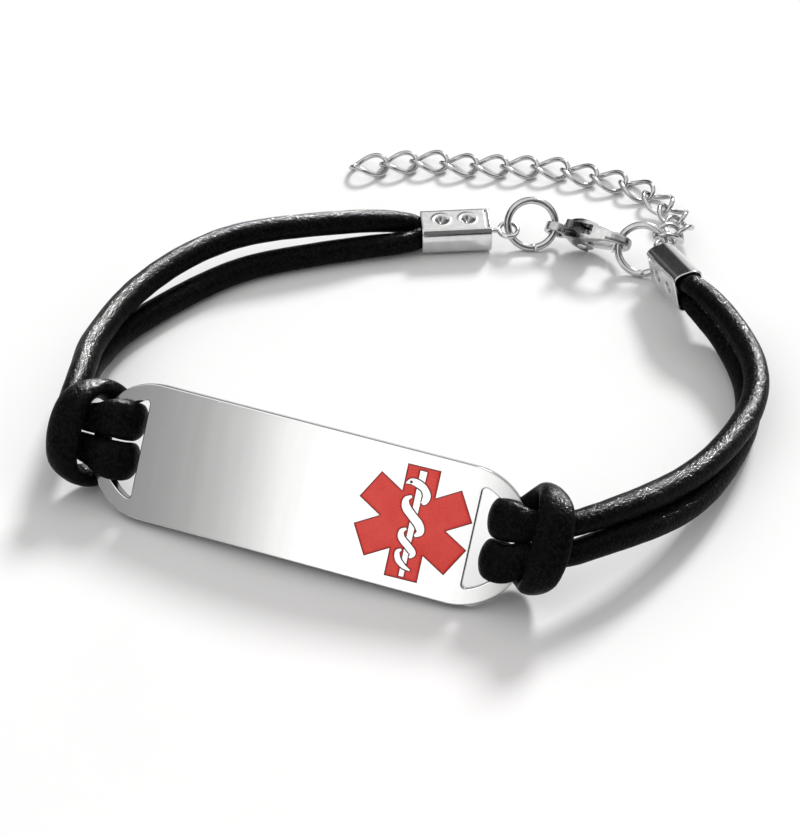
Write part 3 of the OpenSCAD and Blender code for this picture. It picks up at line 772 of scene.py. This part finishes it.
# --- the crimped caps
# The long edges are softly pressed: short across the crimped face, long down the narrow sides.
# The outline grows a little to make up for what such edges take off
EDGE_ACROSS, EDGE_DOWN = 0.78, 1.38
GROW_ACROSS, GROW_DOWN = 0.2, 0.15
EDGE_STEPS, SIDE_STEPS = 14, 26
CORNERS = np.array([(1, 1), (-1, 1), (-1, -1), (1, -1)])
# Round dents: places along the cap, radius and the share of it drawn in darker steel as painted
# shade in the hollow; then the height, radius and width of the lip round them, in the face's flat
# zone
DENTS_AT, DENT_R, DENT_SHADE_SHARE = (CAP_LEN * 0.29, CAP_LEN * 0.67), 0.86, 0.8
DENT_LIP, DENT_LIP_R, DENT_LIP_WIDTH = 0.03, 0.98, 0.16
FACE_ZONE = 0.3
# Behind the folded flap the cap's end lies lower, with a groove before the end's own edge
FLAP_END, LIP_START = CAP_LEN - 0.66, CAP_LEN - 0.34
GROOVE_DROP, END_DROP, GROOVE_SIDE, GROOVE_FADE = 0.36, 0.12, 0.7, 20
END_ROUND = 0.14
EYE_RING_STEPS, EYE_SIDES = 56, 18


def block_ring(width, thick, across, down):
    """Points round a rectangle with elliptical corners, and the direction out at each."""
    half, radii = np.array([width / 2 - across, thick / 2 - down]), np.array([across, down])
    pts, out = [], []
    for number, sign in enumerate(CORNERS):
        for k in range(EDGE_STEPS):
            d = arc_dir(radians(90 * number + 90 * k / EDGE_STEPS))
            pts.append(half * sign + radii * d)
            out.append(d / radii)
        d = np.round(arc_dir(radians(90 * number + 90)))
        here, ahead = half * sign + radii * d, half * CORNERS[(number + 1) % 4] + radii * d
        for k in range(SIDE_STEPS):
            pts.append(here + (ahead - here) * k / SIDE_STEPS)
            out.append(d)
    out = np.array(out)
    return np.array(pts), out / lengths(out)


def build_cap(name, node_name, place, eye_at, eye_tilt, depth):
    """place() takes points of the cap's own frame to the room: mouth at x 0, crimped face up."""
    wide, thick = CAP_WID + GROW_ACROSS, CAP_THK + GROW_DOWN
    outer, nrm = block_ring(wide, thick, EDGE_ACROSS, EDGE_DOWN)
    inner, _ = block_ring(wide - 2 * CAP_WALL, thick - 2 * CAP_WALL,
                          EDGE_ACROSS - CAP_WALL, EDGE_DOWN - CAP_WALL)

    def station(x, base, push, pressed=False):
        ring = []
        for (y, z), n in zip(base, nrm):
            py, pz = y + n[0] * push, z + n[1] * push
            if pressed and z > thick / 2 - FACE_ZONE:
                for dent in DENTS_AT:
                    rho = hypot(x - dent, y)
                    if rho < DENT_R:
                        pz -= depth * cos(pi / 2 * rho / DENT_R) ** 2
                    pz += DENT_LIP * exp(-((rho - DENT_LIP_R) / DENT_LIP_WIDTH) ** 2)
                if x > FLAP_END:
                    fade = 1 / (1 + exp((abs(y) - (CAP_WID / 2 - GROOVE_SIDE)) * GROOVE_FADE))
                    pz -= (GROOVE_DROP if x < LIP_START else END_DROP) * fade
            ring.append((x, py, pz))
        return np.array(ring)

    # Out of the mouth along the inner wall, over its edge, and along the outside to the end
    mouth = [(1.6, inner, 0), (0.14, inner, 0), (0.04, inner, -0.03), (0.0, inner, 0.12),
             (0.0, outer, -0.09), (0.03, outer, -0.025)]
    rings = [station(*row) for row in mouth]
    xs = [0.1, *np.linspace(0.25, FLAP_END - 0.05, 78), FLAP_END - 0.01, FLAP_END + 0.02,
          FLAP_END + 0.06, LIP_START - 0.04, LIP_START - 0.01, LIP_START + 0.03, CAP_LEN - 0.2,
          CAP_LEN - END_ROUND]
    rings += [station(x, outer, 0, True) for x in xs]
    for k in range(1, 5):
        a = radians(90 * k / 4)
        rings.append(station(CAP_LEN - END_ROUND + END_ROUND * sin(a), outer,
                             -END_ROUND * (1 - cos(a)), True))
    b = Builder()
    b.tube(rings)
    b.turn_out()
    shell = len(b.verts)

    # Eye and its neck
    eye = np.array([CAP_LEN, 0, 0]) + np.array(eye_at)
    m = rot("X", eye_tilt)
    wire = EYE_WIRE / 2
    b.tube([round_wire(eye, m, EYE_MID, wire, a, EYE_SIDES) for a in angles(EYE_RING_STEPS)],
           closed=True)
    reach = eye_at[0] - EYE_MID
    neck = ((-0.3, 0.34), (0.0, 0.34), (0.12, 0.29), (0.3, wire), (reach - 0.05, wire),
            (reach + 0.12, wire * 0.9))
    b.tube([[(CAP_LEN + x, eye_at[1] + r * cos(c), eye_at[2] + r * sin(c))
             for c in angles(EYE_SIDES)] for x, r in neck])
    local, b.verts = b.verts, [place(p) for p in b.verts]
    ob = piece(name, b, STEEL, [node_name])
    ob.data.materials.append(DENT_SHADE_STEEL)
    # The hollows of the dents take the darker steel: painted shade
    for polygon in ob.data.polygons:
        if max(polygon.vertices) < shell:
            x, y, z = np.mean([local[i] for i in polygon.vertices], axis=0)
            off = min(hypot(x - dent, y) for dent in DENTS_AT)
            polygon.material_index = int(z > 0.5 and off < DENT_SHADE_SHARE * DENT_R)


def left_place(p):
    return LEFT_MOUTH + turn(p, LEFT_CAP_TURN)


def right_place(p):
    return RIGHT_CAP_END + RIGHT_M @ (np.array([CAP_LEN, 0, 0]) + RIGHT_FLIP @ np.asarray(p, float))


# --- the clasp
CAST_VOXEL = 0.045
PIN_AT, PIN_STEPS, PIN_TIP = (3.5, -0.1), 32, 0.02
# Radius and height of the rivet from its head to its middle
PIN_PROFILE = [(0.0, -1.52), (0.25, -1.49), (0.44, -1.4), (0.56, -1.26), (0.575, -1.22),
               (0.33, -1.21)]


def paint_claw_shade(mat):
    """Painted shade: the cast steel is multiplied darker round the claw's hinge, standing in for
    the dark reflections there, and left bright toward the hook.
    """
    nt = mat.node_tree
    colour = nt.nodes["Principled BSDF"].inputs["Base Color"]
    metal = colour.links[0].from_socket
    axis = CLAW_M[:, 0]
    share = reach_along(nt, in_mm(nt), axis / CLAW_LEN)
    at = math_node(nt, "SUBTRACT", share, float((CLAW_EYE - MIDDLE) @ axis / CLAW_LEN))
    tone = ramp(nt, at, [(0.0, 0.75), (0.09, 0.6), (0.15, 0.24), (0.4, 0.22), (0.47, 0.85),
                         (0.8, 1.0), (0.9, 0.6)])
    nt.links.new(mix_colours(nt, "MULTIPLY", 1.0, metal, tone), colour)


def soften(name, node_name, body, rounds):
    """A cast-looking copy of a CAD node: remeshed finely in millimetres, and smoothed."""
    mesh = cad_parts[node_name].data.copy()
    mesh.transform(Matrix.Scale(1 / MM, 4))
    ob = new_object(name, mesh)
    given(ob.modifiers.new("weld", "WELD"), merge_threshold=0.001)
    given(ob.modifiers.new("remesh", "REMESH"), mode="VOXEL", voxel_size=CAST_VOXEL, adaptivity=0.0)
    given(ob.modifiers.new("smooth", "SMOOTH"), factor=0.5, iterations=rounds)
    dg = bpy.context.evaluated_depsgraph_get()
    made = bpy.data.meshes.new_from_object(ob.evaluated_get(dg))
    bpy.data.objects.remove(ob)
    verts = np.zeros(len(made.vertices) * 3, np.float32)
    made.vertices.foreach_get("co", verts)
    b = Builder()
    b.verts = verts.reshape(-1, 3) + MIDDLE
    b.faces = [tuple(p.vertices) for p in made.polygons]
    bpy.data.meshes.remove(made)
    piece(name, b, CAST, [node_name], body)


def build_pin():
    x, y = PIN_AT
    profile = [(max(r, PIN_TIP), z) for r, z in PIN_PROFILE]
    b = Builder()
    b.tube([[CLAW_EYE + CLAW_M @ [x + r * cos(a), y + r * sin(a), z]
             for a in angles(PIN_STEPS)]
            for r, z in profile + [(r, -z) for r, z in profile[::-1]]])
    piece("rivet", b, STEEL, ["clasp_pin"])


# --- the cords
# Rows of the hitch from the run to the middle of its bight, lengths in shares of the cord's
# radius: beyond the rim's middle, across the plate, above its middle; then the direction of
# the cord's thickness along, across and out of the plate; then its half width and half thickness
HITCH = [
    (3.3, 1.12, 0.86, 0, 0, 1, 0.91, 0.9),
    (2.3, 1.03, 0.76, 0, 0, 1, 0.94, 0.88),
    (1.2, 1.1, 0.93, 0, 0, 1, 1.05, 0.82),
    (0.1, 1.24, 1.14, 0, 0, 1, 1.19, 0.7),
    (-1, 1.5, 1.15, -0.3, 0, 1, 1.44, 0.68),
    (-1.95, 1.5, 0.66, -0.8, 0, 0.6, 1.44, 0.66),
    (-2.2, 1.47, -0.2, -1, 0, -0.1, 1.4, 0.66),
    (-1.75, 1.45, -1.05, -0.7, 0, -0.7, 1.25, 0.7),
    (-0.7, 1.6, -1.42, 0, 0, -1, 1.12, 0.8),
    (0.1, 2.3, -1.45, 0.1, 0.3, -1, 1, 0.86),
    (0.8, 3, -0.95, 0.4, 0.7, -0.7, 0.95, 0.8),
    (1.25, 3.3, 0.2, 0.4, 1, 0, 1.03, 0.72),
    (1.55, 3.02, 1.62, 0.15, 0.85, 0.5, 1.18, 0.72),
    (1.82, 2.02, 2.54, 0, 0.35, 0.95, 1.32, 0.68),
    (1.95, 0, 2.68, 0, 0, 1, 1.44, 0.7),
]
# The strands' middles between the caps and the hitches: x, y and height
LEFT_UPPER = [(-9.5, 48.2, 3.6), (-13.6, 45.3, 4.3), (-20.4, 40.9, 4.6), (-24.7, 36.9, 4.6),
              (-28, 31.2, 4.6), (-29.9, 24.5, 4.7), (-30, 18.4, 5.2), (-29.5, 13.9, 6),
              (-28.1, 9.4, 7)]
LEFT_LOWER = [(-9, 46.4, 1.5), (-13.1, 43.9, 1.4), (-19.9, 39.1, 1.4), (-23.8, 34.6, 1.4),
              (-27.2, 28.7, 1.4), (-29.7, 22.6, 1.6), (-30.1, 18.4, 2.1), (-29.8, 14, 3.1),
              (-28.7, 9, 3.95)]
RIGHT_UPPER = [(29.9, 45.6, 5.1), (33.7, 41.9, 4.9), (36.9, 37.2, 4.8), (38, 29.6, 4.9),
               (36.4, 20.4, 5.7), (33.9, 14.4, 6.6), (31.2, 9.5, 7.65)]
RIGHT_LOWER = [(29.3, 45.8, 2.2), (32.4, 42.9, 1.7), (35.4, 38.6, 1.6), (37.6, 31, 1.9),
               (36.9, 19.6, 3), (34.6, 12.9, 4.2), (31.9, 8.2, 5.4)]
RIM_MID = PLATE_LEN / 2 - RIM / 2
CORD_R = CORD_D / 2
# Half sizes of a strand squeezed in its half of a cap
SIDE_HALF = (CAP_WID - 2 * CAP_WALL) / 4 - 0.06
FLAT_HALF = (CAP_THK - 2 * CAP_WALL) / 2 - 0.06
STRAND_OFFSET = SIDE_HALF + 0.03
ROW_STEPS, CORD_SIDES = 14, 44
# Rows from a cord's end where its evening at the cap's mouth sets in, is full, fades and ends,
# with its rounds, and the same for the gentler evening of the runs and hitches
MOUTH_ROWS, MOUTH_ROUNDS = (14, 28, 54, 76), 220
RUN_ROWS, RUN_ROUNDS = (40, 70), 40
BEND_ROUNDS = 12
# Waves of the leather's surface as frequency and height, and the depth of a bend's creases
SLOW_WAVE, FAST_WAVE = (0.55, 0.035), (2.2, 0.014)
CREASE_PER_BEND, CREASE_MOST = 0.35, 0.09


def hitch_row(row, side, flip, shift, inset, rise):
    u = RIM_MID + row[0] * CORD_R - inset
    v = flip * row[1] * CORD_R + shift + rise * max(0, row[0] + 1) / (HITCH[0][0] + 1)
    n = row[2] * CORD_R - PLATE_THK / 2
    lift = plate_dir(side * u, (side * row[3], flip * row[4], row[5]))
    return [*plate_pt(side * u, v, n), *lift, row[6] * CORD_R, row[7] * CORD_R]


def hitch(side, shift, inset, rise):
    """The whole hitch: in on the upper strand, over its bight and out on the lower one."""
    return [hitch_row(r, side, flip, shift, inset, rise)
            for rows, flip in ((HITCH, 1), (HITCH[-2::-1], -1)) for r in rows]


def run_rows(points):
    out = []
    for i, p in enumerate(points):
        full = (0.92 + 0.08 * min(1, 2 * i / (len(points) - 1))) * CORD_R
        out.append([*p, 0, 0, 1, full, full])
    return out


def cap_rows(mouth, into, spread, thick, halves, lift):
    """A strand's rows in the cap, level with its mouth, and just out of it."""
    inner = mouth + into * 0.9 + spread
    level = mouth - into * 0.1 + spread
    outer = mouth - into * 1.5 + spread * 1.42 + np.array([0, 0, lift])
    return [[*inner, *thick, *halves], [*level, *thick, *halves],
            [*outer, *thick, CORD_R * 0.86, CORD_R * 0.86]]


def cord_rows(cap, halves, upper, lower, knot):
    """A whole cord: out of the cap, to the hitch and back into the cap."""
    mouth, into, across, thick, lift_upper, lift_lower = cap
    return (cap_rows(mouth, into, across, thick, halves, lift_upper) + run_rows(upper)
            + hitch(*knot) + run_rows(lower)[::-1]
            + cap_rows(mouth, into, -across, thick, halves, lift_lower)[::-1])


def eased(rows, rounds):
    """The rows averaged with their neighbours for some rounds, the first and last kept."""
    for _ in range(rounds):
        mean = (rows[:-2] + 2 * rows[1:-1] + rows[2:]) / 4
        rows = np.concatenate([rows[:1], mean, rows[-1:]])
    return rows


def blend(x, start, full):
    return np.clip((x - start) / (full - start), 0, 1)


def build_cord(name, node_name, rows, seed):
    rows = smooth_rows(rows, ROW_STEPS)
    n = len(rows)
    ends = np.minimum(np.arange(n), np.arange(n)[::-1])[:, None]
    begin, full, fade, end = MOUTH_ROWS
    rows += (eased(rows, MOUTH_ROUNDS) - rows) * blend(ends, begin, full) * blend(ends, end, fade)
    rows += (eased(rows, RUN_ROUNDS) - rows) * blend(ends, *RUN_ROWS)
    place, lift = rows[:, :3], rows[:, 3:6]
    tan = np.gradient(place, axis=0)
    step = lengths(tan)
    tan /= step
    side = np.cross(tan, lift)
    side /= lengths(side)
    thick = np.cross(side, tan)
    # How sharply the cord bends, and which way, so that the inside of each bend wrinkles
    bend = eased(np.gradient(tan, axis=0) / step, BEND_ROUNDS)
    run = distances(place)
    verts = np.zeros((n, CORD_SIDES, 3))
    for i in range(n):
        half_wide, half_thick = rows[i][6], rows[i][7]
        for k, a in enumerate(angles(CORD_SIDES)):
            out = side[i] * cos(a) * half_wide + thick[i] * sin(a) * half_thick
            dirn = out / np.linalg.norm(out)
            p = place[i] + out
            q = Vector(p * 0.9) + Vector((seed, 0, 0))
            wave = sum(high * noise.noise(q * often) for often, high in (SLOW_WAVE, FAST_WAVE))
            inner = max(0.0, float(np.dot(bend[i], dirn)))
            crease = noise.noise(Vector((run[i] * 2.1 + seed * 7, a * 0.5, seed)))
            crease = -(1 - abs(crease)) ** 6 * min(CREASE_MOST, CREASE_PER_BEND * inner)
            verts[i, k] = p + dirn * (wave + crease)
    b = Builder()
    b.tube(list(verts))
    b.turn_out()
    piece(name, b, LEATHER, [node_name])


# --- the chain
LINKS = 14
PITCH = LINK_LEN - 2 * LINK_WIRE - LINK_GAP
TWIST = 42
LINK_STEPS, LINK_SIDES = 56, 16
FIRST_LINK_ON, FIRST_LINK_SLACK = 45, 0.08
CHAIN_START = RIGHT_RING + ring_arm(RIGHT_POSE, FIRST_LINK_ON)
# The links' middles from where the first one holds the ring: down to the table, then along it
CHAIN_DOWN = [(0, 0, 0), (1.1, 2.3, -1.1), (0.3, 5.7, -2.2), (-2, 8.6, -3)]
CHAIN_FLAT = [(-5, 10.8), (-8.2, 11.5), (-12, 11.5), (-16, 11.4), (-19.2, 10.5), (-23, 9.3),
              (-26.8, 8.2), (-29.8, 7.6), (-32.6, 6.4), (-35.5, 4.8), (-38, 3.4)]
CHAIN_DROP, ROUTE_STEPS = -3.35, 4
route = smooth_rows(CHAIN_DOWN + [(x, y, CHAIN_DROP) for x, y in CHAIN_FLAT], ROUTE_STEPS)
route_at = distances(route)


def route_pt(s):
    return np.array([np.interp(s, route_at, route[:, k]) for k in range(3)])


def build_link(number):
    half_len, half_wid = (LINK_LEN - LINK_WIRE) / 2, (LINK_WID - LINK_WIRE) / 2
    s = (half_len - LINK_WIRE / 2 - RING_WIRE / 2 - FIRST_LINK_SLACK) + (number - 1) * PITCH
    middle = CHAIN_START + route_pt(s)
    along = unit(route_pt(s + PITCH / 2) - route_pt(s - PITCH / 2))
    across = unit(np.cross([0, 0, 1], along))
    up = np.cross(along, across)

    def bend(a):
        """The wire's middle in an oval that is twisted from end to end."""
        tip = radians(TWIST * cos(a))
        w = half_wid * sin(a)
        return np.array([half_len * cos(a), w * cos(tip), w * sin(tip)])

    rings = []
    for a in angles(LINK_STEPS):
        here = bend(a)
        ahead = unit(bend(a + 0.03) - bend(a - 0.03))
        out = unit(np.cross(ahead, np.cross(here, ahead)))
        side = np.cross(ahead, out)
        pts = []
        for c in angles(LINK_SIDES):
            p = here + (out * cos(c) + side * sin(c)) * LINK_WIRE / 2
            pts.append(middle + along * p[0] + across * p[1] + up * p[2])
        rings.append(pts)
    b = Builder()
    b.tube(rings, closed=True)
    piece("curb_link_%02d" % number, b, WIRE, ["chain_link_%02d" % number])


# --- stage
FLOOR_HALF = 1.6
KEY = unit([0.045, 0.787, 0.613])
# The camera as fitted to the photograph: the way back from the plate's middle, the distance
# and the shift of the picture, and the focal length and the photograph's height in pixels
CAMERA_AZ, CAMERA_EL, CAMERA_FAR = 20.87, 42, 300
CAMERA_RIGHT, CAMERA_UP = 10.053, 7.557
FOCAL_PX, PHOTO_PX, SENSOR = 3024.3, 836, 36


def build_floor():
    mesh = bpy.data.meshes.new("floor")
    s = FLOOR_HALF
    mesh.from_pydata([(-s, -s, 0), (s, -s, 0), (s, s, 0), (-s, s, 0)], [], [(0, 1, 2, 3)])
    mesh.materials.append(pale_table())
    new_object("floor", mesh)


def build_world():
    world = bpy.data.worlds.new("studio")
    bpy.context.scene.world = world
    world.use_nodes = True
    nt = world.node_tree
    way = new_node(nt, "TexCoord", {}).outputs["Generated"]
    toward = partial(reach_along, nt, way)
    times, more, brighter = (partial(math_node, nt, op)
                             for op in ("MULTIPLY", "MULTIPLY_ADD", "MAXIMUM"))

    def soft(value, low, high):
        values = {"Value": value, "From Min": low, "From Max": high}
        n = new_node(nt, "MapRange", values, interpolation_type="SMOOTHSTEP", clamp=True)
        return n.outputs["Result"]

    # Bright overhead and round the key, dark toward the horizon
    height = toward([0.0, 0.0, 1.0])
    total = more(soft(height, 0.22, 0.62), 0.92, 0.06)
    total = more(soft(toward(KEY), 0.8, 1.0), 0.12, total)
    # A dark flag high at the back left, and a light patch low behind
    flag = soft(toward(unit([-0.52, 0.77, 0.36])), 0.93, 0.98)
    total = times(total, more(flag, -0.85, 1.0))
    behind = soft(toward(unit([-0.05, 0.97, 0.2])), 0.93, 0.985)
    total = brighter(total, times(behind, 0.85))
    # A white card in front; the plate shows its fall to grey toward the left
    card = times(soft(toward(unit([0.1, -0.9, 0.46])), 0.52, 0.68), soft(height, 0.17, 0.3))
    left = more(toward([-0.77, -0.64, 0.0]), 5.0, -3.75, clamp=True)
    shade = ramp(nt, left, [(0.0, 1.0), (0.18, 0.9), (0.275, 0.75), (0.365, 0.6),
                            (0.465, 0.5), (0.565, 0.44), (0.71, 0.35), (0.85, 0.28)])
    # Right of the card the front stays dark, below the overhead light
    ahead = soft(toward([0.25, -0.968, 0.0]), 0.2, 0.45)
    right = times(soft(toward([0.968, 0.25, 0.0]), -0.14, 0.02), ahead)
    low = math_node(nt, "SUBTRACT", 1.0, soft(height, 0.86, 0.97))
    shade = times(shade, more(times(right, low), -0.85, 1.0))
    total = times(brighter(total, times(card, 1.25)), shade)
    feed(nt.nodes["Background"], {"Strength": total, "Color": (1.0, 0.995, 0.99, 1)})


def build_lamp(name, toward, energy, angle, diffuse, only=()):
    """A sun from a direction; it lights only the objects named, or all."""
    light = given(bpy.data.lights.new(name, "SUN"), energy=energy, angle=radians(angle))
    ob = given(new_object(name, light), rotation_mode="QUATERNION", visible_diffuse=diffuse,
               rotation_quaternion=Vector(toward).to_track_quat("Z", "Y"))
    if only:
        lit = bpy.data.collections.new(name + "_lit")
        for other in only:
            lit.objects.link(bpy.data.objects[other])
        ob.light_linking.receiver_collection = lit


def build_camera():
    az, el = radians(CAMERA_AZ), radians(CAMERA_EL)
    back = np.array([sin(az) * cos(el), -cos(az) * cos(el), sin(el)])
    right = np.array([cos(az), sin(az), 0])
    up = np.cross(back, right)
    mid = np.array([0, 0, PLATE_Z]) - MIDDLE
    eye = (mid + CAMERA_FAR * back + CAMERA_RIGHT * right + CAMERA_UP * up) * MM
    cam = given(bpy.data.cameras.new("camera"), sensor_width=SENSOR,
                lens=FOCAL_PX * SENSOR / PHOTO_PX, clip_start=0.01, clip_end=10)
    ob = new_object("camera", cam)
    ob.matrix_world = Matrix([*zip(right, up, back, eye), (0, 0, 0, 1)])
    bpy.context.scene.camera = ob


# --- the whole bracelet
points, triangles, steel, enamel = divide_face()
build_enamel(points, triangles, enamel, build_steel(points, triangles, steel, enamel))
build_eye()
build_ring("jump_ring_left", "ring_left", LEFT_RING, LEFT_POSE)
build_ring("jump_ring_right", "ring_right", RIGHT_RING, RIGHT_POSE)
build_cap("crimp_cap_left", "left_cap", left_place, LEFT_EYE_AT, 8, 0.56)
build_cap("crimp_cap_right", "right_cap", right_place,
          (RIGHT_EYE_REACH, -RIGHT_EYE_UP, -RIGHT_EYE_OUT), 90, 0.36)
# Painted shade on the cast steel of claw and lever, darkest round the claw's hinge
paint_claw_shade(CAST)
soften("claw", "clasp_body", ROOT, 10)
soften("lever", "clasp_lever", LEVER, 8)
build_pin()

# Each cap as the mouth, the way in, the way across, the way of the cord's thickness, and how
# much the upper and the lower strand rise out of it
left_cap = (LEFT_MOUTH, turn([1, 0, 0], LEFT_CAP_TURN), turn([0, STRAND_OFFSET, 0], LEFT_CAP_TURN),
            (0, 0, 1), 0.45, -0.45)
right_up = in_right_cap([0, 0, 1])
right_cap = (RIGHT_MOUTH, -in_right_cap([1, 0, 0]), right_up * STRAND_OFFSET, right_up, 0.3, -0.5)
build_cord("leather_cord_left", "left_cord",
           cord_rows(left_cap, (SIDE_HALF, FLAT_HALF), LEFT_UPPER, LEFT_LOWER,
                     (-1, 0.45, 0.45, -0.3)), 3.0)
build_cord("leather_cord_right", "right_cord",
           cord_rows(right_cap, (FLAT_HALF, SIDE_HALF), RIGHT_UPPER, RIGHT_LOWER,
                     (1, 0.4, 0, 1.8)), 11.0)
for number in range(1, LINKS + 1):
    build_link(number)

build_floor()
build_world()
# The key throws the shadows; a narrow lamp for each cord only adds the sparkle of its grain
build_lamp("key", KEY, 2.7, 13.0, True)
build_lamp("sparkle_left", unit([-0.22, 0.87, 0.42]), 40.0, 6.0, False, ["leather_cord_left"])
build_lamp("sparkle_right", unit([0.16, 0.88, 0.42]), 34.0, 6.0, False, ["leather_cord_right"])
build_camera()
scene = bpy.context.scene
scene.view_settings.view_transform = "Standard"
scene.view_settings.look = "None"
scene.view_settings.exposure = 0.0
